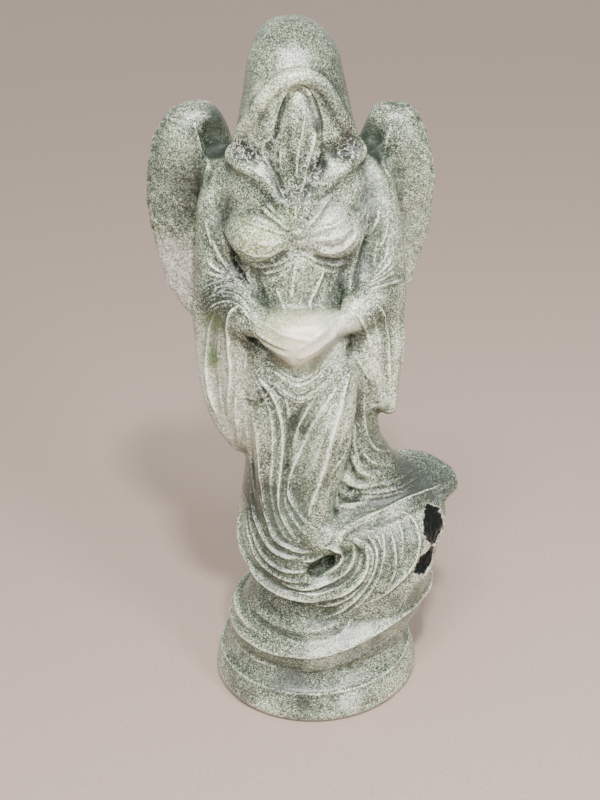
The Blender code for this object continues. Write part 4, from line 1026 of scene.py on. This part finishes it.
def weather(body):
    """Leaves the stone a little uneven, and the wings rough-cut with chipped edges."""
    points, normals = mesh_arrays(body)
    x, y, z = points.T
    on_wing = climb(y, 2.5, 3) * climb(np.abs(x), 19, 5) * climb(z, 96, 6)
    edge = np.clip(3 * np.abs(normals[:, 0]) - 1.6, 0, 1)  # where the surface turns sideways
    push = np.zeros(len(points))
    for k, place in enumerate(points.tolist()):
        place = Vector(place)
        push[k] = UNEVEN_SURFACE * rough(place, 5) * min(max(place.z / 4, 0), 1)
        if on_wing[k] > 0:
            slanted = Vector((place.x + 0.6 * place.z, place.y, 0.45 * place.z))
            marks = rough(slanted, 1.5) + 0.7 * rough(place, 3.2)
            chips = min(rough(place, 2.1) + 0.1, 0)
            push[k] += on_wing[k] * (TOOL_MARK * marks + CHIP * edge[k] * chips)
    set_points(body, points + normals * push[:, None])


def cut_flat(body):
    """Cuts the stone off flat at z = 0."""
    mesh = bmesh.new()
    mesh.from_mesh(body.data)
    geometry = [*mesh.verts, *mesh.edges, *mesh.faces]
    below = {"plane_co": (0, 0, 0), "plane_no": (0, 0, -1), "clear_outer": True}
    bmesh.ops.bisect_plane(mesh, geom=geometry, dist=1e-7, **below)
    rim = [edge for edge in mesh.edges if edge.is_boundary]
    bmesh.ops.contextual_create(mesh, geom=rim)
    bmesh.ops.triangulate(mesh, faces=mesh.faces[:])
    mesh.to_mesh(body.data)
    mesh.free()


def thin(body, triangles):
    """Merges triangles where the surface is plain, down to about the number wanted."""
    count = sum(len(face.vertices) - 2 for face in body.data.polygons)
    decimate = body.modifiers.new("thin", "DECIMATE")
    decimate.ratio = min(1, triangles / count)
    apply_modifiers(body)


def keep_relief(body, name, rounds, full, lowest):
    """Keeps how far each point lies in a groove (positive, 1 at full) or on a crest (negative)."""
    points, normals = mesh_arrays(body)
    ends = np.empty(len(body.data.edges) * 2, np.int32)
    body.data.edges.foreach_get("vertices", ends)
    a, b = ends.reshape(-1, 2).T
    count = len(points)
    degree = np.bincount(a, minlength=count) + np.bincount(b, minlength=count)
    smooth = points.astype(float)
    for _ in range(rounds):
        sums = [np.bincount(a, smooth[b, k], count) + np.bincount(b, smooth[a, k], count) for k in range(3)]
        smooth = 0.5 * smooth + 0.5 * np.array(sums).T / degree[:, None]
    depth = ((smooth - points) * normals).sum(-1) / full
    keep(body, name, np.clip(depth, lowest, 1))


def keep_inside(body):
    """Keeps the finished surface inside the box of the CAD solid."""
    points, _ = mesh_arrays(body)
    set_points(body, np.clip(points, np.array(NODE_LOW) / MM, np.array(NODE_HIGH) / MM))


def figurine():
    """The whole stone, carved."""
    body = mesh_object("winged_goddess", masses())
    fuse(body, ROUGH_VOXEL, softening=7)
    carve(body, deep_hollows())
    join(body, mesh_object("laid", [*cords(surface_of(body)), veil(), foot(), collar()]))
    fuse(body, FINE_VOXEL, softening=3)
    carve(body, hood_detail() + bodice() + arms_detail() + hands_detail() + base_detail())
    carve(body, skirt_detail() + swirl_detail() + feathers() + back_folds())
    weather(body)
    break_pockets(body)
    thin(body, TRIANGLES)
    cut_flat(body)
    keep_inside(body)
    keep_relief(body, "line", rounds=3, full=0.09, lowest=-1.5)
    keep_relief(body, "groove", rounds=14, full=0.30, lowest=-1.8)
    keep_relief(body, "hollow", rounds=90, full=1.2, lowest=0)
    body.data.shade_smooth()
    return body


# ---------------------------------------------------------------- the stone


def feed(tree, made, values):
    """Links a node's inputs to the sockets given for them, and sets the others to the plain values."""
    for key, value in values.items():
        if isinstance(value, bpy.types.NodeSocket):
            tree.links.new(value, made.inputs[key])
        else:
            made.inputs[key].default_value = value


def node(tree, kind, inputs, **settings):
    """A new shader node."""
    made = tree.nodes.new("ShaderNode" + kind)
    for name, value in settings.items():
        setattr(made, name, value)
    feed(tree, made, inputs)
    return made


def texture(tree, kind, place, output="Fac", **values):
    """A procedural texture at a place in the stone."""
    inputs = {name.title(): value for name, value in values.items()}
    return node(tree, "Tex" + kind, {"Vector": place, **inputs}).outputs[output]


def between(tree, value, low, high, at_low=0, at_high=1):
    """The value eased from at_low to at_high as it goes from low to high."""
    inputs = {"Value": value, "From Min": low, "From Max": high, "To Min": at_low, "To Max": at_high}
    return node(tree, "MapRange", inputs, interpolation_type="SMOOTHSTEP").outputs["Result"]


def total(tree, *terms, start=0):
    """The sum of values, each times its share, on top of start."""
    result = start
    for value, share in terms:
        result = node(tree, "Math", {0: value, 1: share, 2: result}, operation="MULTIPLY_ADD").outputs[0]
    return result


def product(tree, first, second):
    """One value times another."""
    return node(tree, "Math", {0: first, 1: second}, operation="MULTIPLY").outputs[0]


def mix(tree, share, under, over, blend="MIX"):
    """One colour over another, as far as share says."""
    return node(tree, "Mix", {0: share, 6: under, 7: over}, data_type="RGBA", blend_type=blend).outputs[2]


def attribute(tree, name):
    """A value kept on the mesh."""
    return node(tree, "Attribute", {}, attribute_name=name).outputs["Fac"]


def zone(tree, place, centre, radius):
    """1 about the centre and 0 outside the radius, both in the figure's millimetres."""
    away = node(tree, "VectorMath", {0: place, 1: Vector(centre) * MM}, operation="DISTANCE")
    return between(tree, away.outputs["Value"], 0.35 * radius * MM, radius * MM, 1, 0)


def zones(tree, place, rows):
    """The sum of the zones of all rows, each times its share."""
    return total(tree, *[(zone(tree, place, centre, radius), share) for centre, radius, share in rows])


def strayed(tree, place, scale, reach):
    """A place moved about by a slow noise, up to reach millimetres, so that edges come out uneven."""
    slow = texture(tree, "Noise", place, "Color", scale=scale, detail=4)
    centred = node(tree, "VectorMath", {0: slow, 1: (0.5, 0.5, 0.5)}, operation="SUBTRACT").outputs[0]
    inputs = {0: centred, 1: (2 * reach * MM,) * 3, 2: place}
    return node(tree, "VectorMath", inputs, operation="MULTIPLY_ADD").outputs[0]


def ramp(tree, value, stops):
    """A colour between the given ones, as the value goes from 0 to 1."""
    made = node(tree, "ValToRGB", {"Fac": value})
    elements = made.color_ramp.elements
    while len(elements) < len(stops):
        elements.new(1)
    for element, (position, colour) in zip(elements, stops):
        element.position = position
        element.color = (*colour, 1)
    return made.outputs["Color"]


def bump(tree, height, strength, depth):
    """Relief too fine for the mesh, its depth in millimetres."""
    inputs = {"Height": height, "Strength": strength, "Distance": depth * MM}
    return node(tree, "Bump", inputs).outputs["Normal"]


def paint(name):
    """A new material, its nodes, its surface and the place that its textures read."""
    made = bpy.data.materials.new(name)
    made.use_nodes = True
    tree = made.node_tree
    return made, tree, tree.nodes["Principled BSDF"], node(tree, "TexCoord", {}).outputs["Object"]


# The stone from its darkest green to its palest.
STONE = (
    (0.14, (0.013, 0.018, 0.013)), (0.34, (0.050, 0.067, 0.047)), (0.54, (0.145, 0.180, 0.124)),
    (0.73, (0.300, 0.350, 0.246)), (0.88, (0.540, 0.605, 0.430)), (1.00, (0.910, 0.955, 0.770)),
)

# How fine each pattern of the stone is, in marks to the metre.
CRYSTALS = 3600
GRAINS = 3400
FLECKS = 1250
GLINT_LINES = 420
RAGGED = 420
CLOUDS = 75

# Greys laid over the tints by their share, so that the tints keep the stone's grain.
GRAIN_GREYS = ((0.15, (0.28,) * 3), (0.55, (0.5,) * 3), (0.95, (0.88,) * 3))
GRAIN_SHARE = 0.55

# pale wear on the crests, with a painted highlight
WORN_CREST_HIGHLIGHT = (0.93, 0.97, 0.80, 1)
# painted glints: pale lines where rough crests catch the light
PAINTED_GLINT = (0.94, 0.97, 0.89, 1)
QUARTZ = (0.32, 0.30, 0.27, 1)
BLACK_STONE = (0.003, 0.006, 0.005, 1)

# Stretches of another colour and no grain, the stone's own on the hands and painted shade on the wings'
# rolls: centre and radius in millimetres, colour, how strong it is.
SMOOTH_TINTS_AND_SHADE = (
    # the hands are cream, warmest in the middle
    ((-2, -21, 113), 13, (0.48, 0.49, 0.32), 0.75), ((0, -21, 112), 8, (0.72, 0.65, 0.52), 0.85),
    ((2, -22, 109), 4, (0.72, 0.56, 0.45), 0.6), ((8, -19, 114), 9, (0.6, 0.6, 0.49), 0.6),
    # painted shade: the smooth rolls of the wings, turned back beside the hood
    ((-19.5, 7, 164.5), 5.5, (0.043, 0.054, 0.042), 0.8),
    ((-17.5, 6.5, 161), 8, (0.032, 0.042, 0.032), 0.85), ((-18.6, 4, 155), 5, (0.025, 0.032, 0.025), 0.95),
    ((18, 6, 157), 6.5, (0.029, 0.037, 0.029), 0.85), ((18.6, 3, 153), 4, (0.022, 0.029, 0.022), 0.9),
)

# Stretches of another colour, speckled as the stone is.
TINTS = (
    # yellow and green in the right breast, cream in the left
    ((-11, -14, 137), 8, (0.36, 0.42, 0.19), 0.45), ((-5, -14, 142), 6, (0.19, 0.27, 0.13), 0.45),
    ((8, -14, 138), 9, (0.56, 0.58, 0.48), 0.45),
    # a yellow-green brim
    ((-7, -12, 171), 5, (0.48, 0.56, 0.33), 0.35), ((-11.5, -8, 164.5), 4, (0.45, 0.5, 0.33), 0.3),
    ((0, -13, 175), 6, (0.5, 0.55, 0.36), 0.3),
    # the right sleeve, rosy white with green spots
    ((-23, -6, 104), 15, (0.55, 0.52, 0.43), 0.45), ((-17, -9, 84), 12, (0.56, 0.56, 0.43), 0.6),
    ((-21.6, -7, 105.6), 7, (0.08, 0.13, 0.05), 0.95), ((-20.4, -8, 115), 6, (0.08, 0.12, 0.05), 0.9),
    ((-20, -9, 101.5), 5, (0.37, 0.43, 0.19), 0.7),
    # the lower wings
    ((-34, 8, 122), 15, (0.55, 0.5, 0.44), 0.6), ((32, 8, 128), 17, (0.32, 0.34, 0.28), 0.45),
    # faintly blue places
    ((13, -8, 127), 7, (0.16, 0.18, 0.2), 0.15), ((18, -6, 146), 8, (0.2, 0.22, 0.24), 0.15),
    ((12, -24, 20), 6, (0.23, 0.27, 0.27), 0.5),
    # dark green in the train and the lower skirt
    ((34, -1, 62), 13, (0.065, 0.08, 0.065), 0.4), ((-6, -14, 62), 10, (0.14, 0.18, 0.14), 0.45),
    # the collar, the swirl's left side and the foot
    ((2, -25, 21), 8, (0.43, 0.45, 0.35), 0.35), ((13, -24, 26), 5, (0.4, 0.43, 0.29), 0.55),
    ((28, -15, 35), 5, (0.058, 0.08, 0.05), 0.85), ((9.5, -29, 5), 5, (0.58, 0.6, 0.53), 0.5),
    ((-4, -30, 5), 3.2, (0.09, 0.12, 0.08), 0.7), ((-9, -27, 12), 8, (0.16, 0.18, 0.15), 0.5),
)


# Stretches painted darker or paler: the stone's own tone, and painted shade and painted light where so
# named. Centre and radius in millimetres, and by how much.
SHADES = (
    # painted shade on the hood's left side; its top darker, the brim paler and the cowl's corners darker
    ((14, -3, 172), 16, -0.20), ((0, 0, 186), 14, -0.12), ((-7, -12, 171), 6, 0.16),
    ((-11.5, -8, 164.5), 5, 0.16), ((0, -13, 175), 6, 0.10), ((-12, -7, 157), 5, -0.28),
    ((12.5, -7, 157), 6, -0.34),
    # the wings above their pale ends and the neckline darker, and painted shade on the right elbow
    ((-28, 4, 158), 16, -0.08), ((-33, 3, 141), 13, -0.09), ((26, 4, 158), 14, -0.13),
    ((-20, -9, 122), 9, -0.28), ((0, -12, 148), 12, -0.10), ((-6, -12, 146), 6, -0.12),
    # the waist, the swags, the thighs and both sleeves paler; on the left thigh and left sleeve this is
    # partly painted light
    ((0, -13, 126), 9, 0.11), ((-1, -15, 137), 13, 0.10), ((-1, -20, 101), 8, 0.12),
    ((5, -20, 92), 10, 0.18), ((0, -18, 80), 9, 0.20), ((21, -10, 103), 13, 0.24), ((21, -7, 91), 8, 0.18),
    ((-22, -6, 98), 17, 0.22),
    # painted shade on the skirt's right side, and the hooks beside the leg, the train and the swirl
    ((-15, -12, 66), 12, -0.24), ((12, -12, 67), 7, 0.22), ((9, -22, 34), 8, 0.08),
    ((20, -4, 76), 12, -0.14), ((34, -1, 62), 15, -0.25), ((25, -6, 62), 12, -0.17),
    ((-8, -20, 48), 14, -0.10),
    # the collar and the foot, with painted shade on the foot's right side, and painted shade on the
    # collar's front against a lamp's highlight there
    ((-8, -10, 30), 20, -0.08), ((24, -14, 30), 12, -0.08), ((0, -20, 12), 26, -0.08),
    ((-23, -18, 6), 12, -0.10), ((-9, -26, 13), 6, -0.12), ((14, -24, 25), 8, -0.13),
    ((-14, -27, 3), 7, 0.12),
)

# Small dark spots, told as the shades are: flecks of the stone, and painted shade in the hollow between the
# legs at (-2, -16, 88).
SPOTS = (
    ((-4.1, -9, 162), 3, -0.34), ((6, -11, 154.5), 3.2, -0.34), ((7.4, -9, 159), 2.8, -0.30),
    ((5.4, -10.5, 164), 2.2, -0.30), ((-10.5, -16, 96), 3.6, -0.24), ((13.2, -11, 108), 4, -0.24),
    ((-2, -16, 88), 4, -0.16), ((-7, -26.5, 12.5), 4.4, -0.22), ((-4.5, -29.5, 7.5), 3.2, -0.34),
)

# Where the grain is fainter: centre and radius in millimetres, and how strong the zone is.
CALM = (
    ((0, 0, 178), 26, 1), ((-30, 4, 140), 32, 1), ((31, 4, 138), 32, 1), ((-2, -20, 112), 13, 1),
    ((-22, -5, 100), 18, 1),
)

# The unpolished corners where the wings meet the hood, told as the calm zones are.
MATT = (
    ((-18.6, 4, 155), 7, 1), ((18.4, 4, 154), 7, 1),
)

# Where the surface is rough and painted with glints along fine pale lines, told so too.
GLINTING = (
    ((-12, -7, 157), 5, 1), ((13, -7, 157), 5, 1), ((-6, -11, 159), 5, 1), ((4, -12, 154), 5, 1),
    ((-1, -13, 149), 5, 1), ((-10, -15, 134), 7, 1), ((0, -12, 134), 5, 1), ((-17, -8, 126), 7, 1),
    ((16, -9, 139), 6, 1), ((-8, -16, 98), 6, 1),
)


def tinted(tree, colour, place, rows, tone=None):
    """The colour with the tints of all rows laid over it, each of them times tone if there is one."""
    for centre, radius, tint, strength in rows:
        share = product(tree, zone(tree, place, centre, radius), strength)
        tint = (*tint, 1)
        if tone is not None:
            tint = mix(tree, 1, tint, tone, "MULTIPLY")
        colour = mix(tree, share, colour, tint)
    return colour


def jade():
    """Mottled green and white jade, with painted shade in creases and hollows and a painted highlight on
    worn crests.
    """
    made, tree, surface, place = paint("jade")
    kept = ("line", "groove", "hollow", "inclusion")
    line, groove, hollow, inclusion = (attribute(tree, name) for name in kept)
    uneven = strayed(tree, place, scale=110, reach=4.5)
    nearly = strayed(tree, place, scale=400, reach=0.9)

    # how pale the stone is, from crystals of one tone each, finer grain, flecks and wide clouds, less the
    # painted shade of creases and hollows
    cells = texture(tree, "Voronoi", place, "Color", scale=CRYSTALS)
    crystal = node(tree, "SeparateColor", {"Color": cells}).outputs["Red"]
    grain = texture(tree, "Noise", place, scale=GRAINS, detail=2, roughness=0.7)
    fleck = texture(tree, "Noise", place, scale=FLECKS, detail=5, roughness=0.85)
    cloud = texture(tree, "Noise", place, scale=CLOUDS, detail=5, roughness=0.6)
    sharp_grain, sharp_fleck = between(tree, grain, 0.40, 0.60), between(tree, fleck, 0.36, 0.64)
    speckle = total(tree, (crystal, 0.48), (sharp_grain, 0.30), (sharp_fleck, 0.15), start=-0.465)
    contrast = between(tree, zones(tree, uneven, CALM), 0.1, 0.7, 1.12, 0.92)
    pale = total(
        tree,
        (product(tree, speckle, contrast), 1), (between(tree, cloud, 0.34, 0.66), 0.13),
        # painted shade: darker in creases (groove, line) and in hollows (hollow)
        (groove, -0.12), (line, -0.06), (hollow, -0.16),
        (zones(tree, uneven, SHADES), 1), (zones(tree, nearly, SPOTS), 1),
        start=0.425,
    )
    mottle = between(tree, speckle, -0.35, 0.35, 0.45, 1.60)
    stone = tinted(tree, ramp(tree, pale, STONE), uneven, SMOOTH_TINTS_AND_SHADE)
    stone = tinted(tree, stone, uneven, TINTS, mottle)
    stone = mix(tree, GRAIN_SHARE, stone, ramp(tree, pale, GRAIN_GREYS), "OVERLAY")

    # pale worn crests carrying a painted highlight, and painted glints in fine pale lines where the stone
    # is left rough
    wear_and_highlight = total(tree, (line, -0.9), (groove, -0.4), (sharp_fleck, 0.9))
    stone = mix(tree, between(tree, wear_and_highlight, 1.65, 2.7, 0, 0.75), stone, WORN_CREST_HIGHLIGHT)
    bent = strayed(tree, place, scale=900, reach=1.2)
    cell_edges = node(tree, "TexVoronoi", {"Vector": bent, "Scale": GLINT_LINES}, feature="DISTANCE_TO_EDGE")
    glint_patches = product(
        tree, between(tree, fleck, 0.44, 0.52), between(tree, zones(tree, uneven, GLINTING), 0.1, 0.5),
    )
    rough_glint = product(tree, between(tree, cell_edges.outputs["Distance"], 0.015, 0.07, 1, 0), glint_patches)
    stone = mix(tree, product(tree, rough_glint, 0.75), stone, PAINTED_GLINT)

    # the black inclusion, with quartz along its edge
    ragged = texture(tree, "Noise", place, scale=RAGGED, detail=4)
    edge = total(tree, (inclusion, 1), (ragged, 0.5))
    stone = mix(tree, between(tree, edge, 0.55, 0.62), stone, QUARTZ)
    stone = mix(tree, between(tree, edge, 0.72, 0.78), stone, BLACK_STONE)

    dull = total(tree, (groove, 0.22), (hollow, 0.5), (fleck, 0.25), (inclusion, -0.25), (grain, 0.2))
    matt = total(tree, (inclusion, 1), (hollow, 0.8), (zones(tree, uneven, MATT), 1))
    relief = total(tree, (grain, 0.6), (fleck, 0.8), (rough_glint, 1.2))
    looks = {
        "Base Color": stone,
        "Roughness": between(tree, dull, -0.2, 0.7, 0.10, 0.44),
        "Specular IOR Level": between(tree, matt, 0.4, 0.8, 0.62, 0.12),
        "Normal": bump(tree, relief, strength=0.75, depth=0.12),
        "IOR": 1.6,
    }
    feed(tree, surface, looks)
    return made


def floor_paint():
    """Plain pale paper."""
    made, tree, surface, place = paint("floor")
    grain = texture(tree, "Noise", place, scale=900, detail=2)
    tones = ((0.3, (0.380, 0.290, 0.241)), (0.7, (0.420, 0.323, 0.270)))
    looks = {
        "Base Color": ramp(tree, grain, tones),
        "Roughness": 0.9,
        "Normal": bump(tree, grain, strength=0.25, depth=0.2),
    }
    feed(tree, surface, looks)
    return made


# ---------------------------------------------------------------- the studio

WARM = (1, 0.98, 0.95)
NEARLY_WHITE = (1, 0.99, 0.97)
CAMERA_PLACE = (-1.5, -294, 229.1)
CAMERA_PITCH = 25.8  # how far it looks down, in degrees
CAMERA_ROLL = -2.5
FLOOR_HALF = 12 * DRAWN_HEIGHT


def floor():
    """A wide level sheet under the figure."""
    corners = [(FLOOR_HALF * x, FLOOR_HALF * y, 0) for x, y in ((-1, -1), (1, -1), (1, 1), (-1, 1))]
    made = mesh_object("floor", [(corners, [[0, 1, 2, 3]])])
    made.data.materials.append(floor_paint())
    return made


def lamp(kind, place, power, colour, **settings):
    """A light that shines on the figure's middle from a place in millimetres."""
    light = bpy.data.lights.new(kind.lower(), kind)
    light.energy = power
    light.color = colour
    for name, value in settings.items():
        setattr(light, name, value)
    made = placed(kind.lower(), light)
    middle = Vector((0, 0, 0.5 * DRAWN_HEIGHT))
    made.location = Vector(place) * MM
    made.rotation_mode = "QUATERNION"
    made.rotation_quaternion = (middle - Vector(place)).to_track_quat("-Z", "Y")
    return made


def sky():
    """Even pale light from all round."""
    world = bpy.data.worlds.new("studio")
    world.use_nodes = True
    background = world.node_tree.nodes["Background"]
    background.inputs["Color"].default_value = (0.97, 0.97, 0.95, 1)
    background.inputs["Strength"].default_value = 0.68
    bpy.context.scene.world = world


def camera():
    """The camera, above and in front, as the figure was seen."""
    pitch, roll = math.radians(CAMERA_PITCH), math.radians(CAMERA_ROLL)
    ahead = Vector((0, math.cos(pitch), -math.sin(pitch)))
    level, upright = Vector((1, 0, 0)), Vector((0, math.sin(pitch), math.cos(pitch)))
    right = level * math.cos(roll) + upright * math.sin(roll)
    up = upright * math.cos(roll) - level * math.sin(roll)
    lens = bpy.data.cameras.new("camera")
    lens.sensor_fit = "VERTICAL"
    lens.sensor_height = 36
    lens.lens = 54
    lens.clip_start = 0.01
    lens.clip_end = 20
    made = placed("camera", lens)
    made.matrix_world = Matrix((right, up, -ahead)).transposed().to_4x4()
    made.location = Vector(CAMERA_PLACE) * MM
    bpy.context.scene.camera = made


def main():
    """Builds the figure, its floor and its light, and hands them to the frame."""
    stone = figurine()
    stone.data.materials.append(jade())
    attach(stone, "root")
    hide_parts(NODE)
    floor()
    lamp("SUN", (-160, -480, 820), 2.05, WARM, angle=math.radians(18))
    lamp("AREA", (330, -400, 330), 2.75, NEARLY_WHITE, size=130 * MM)
    lamp("AREA", (40, -270, 470), 3.3, NEARLY_WHITE, size=40 * MM)
    sky()
    camera()


main()
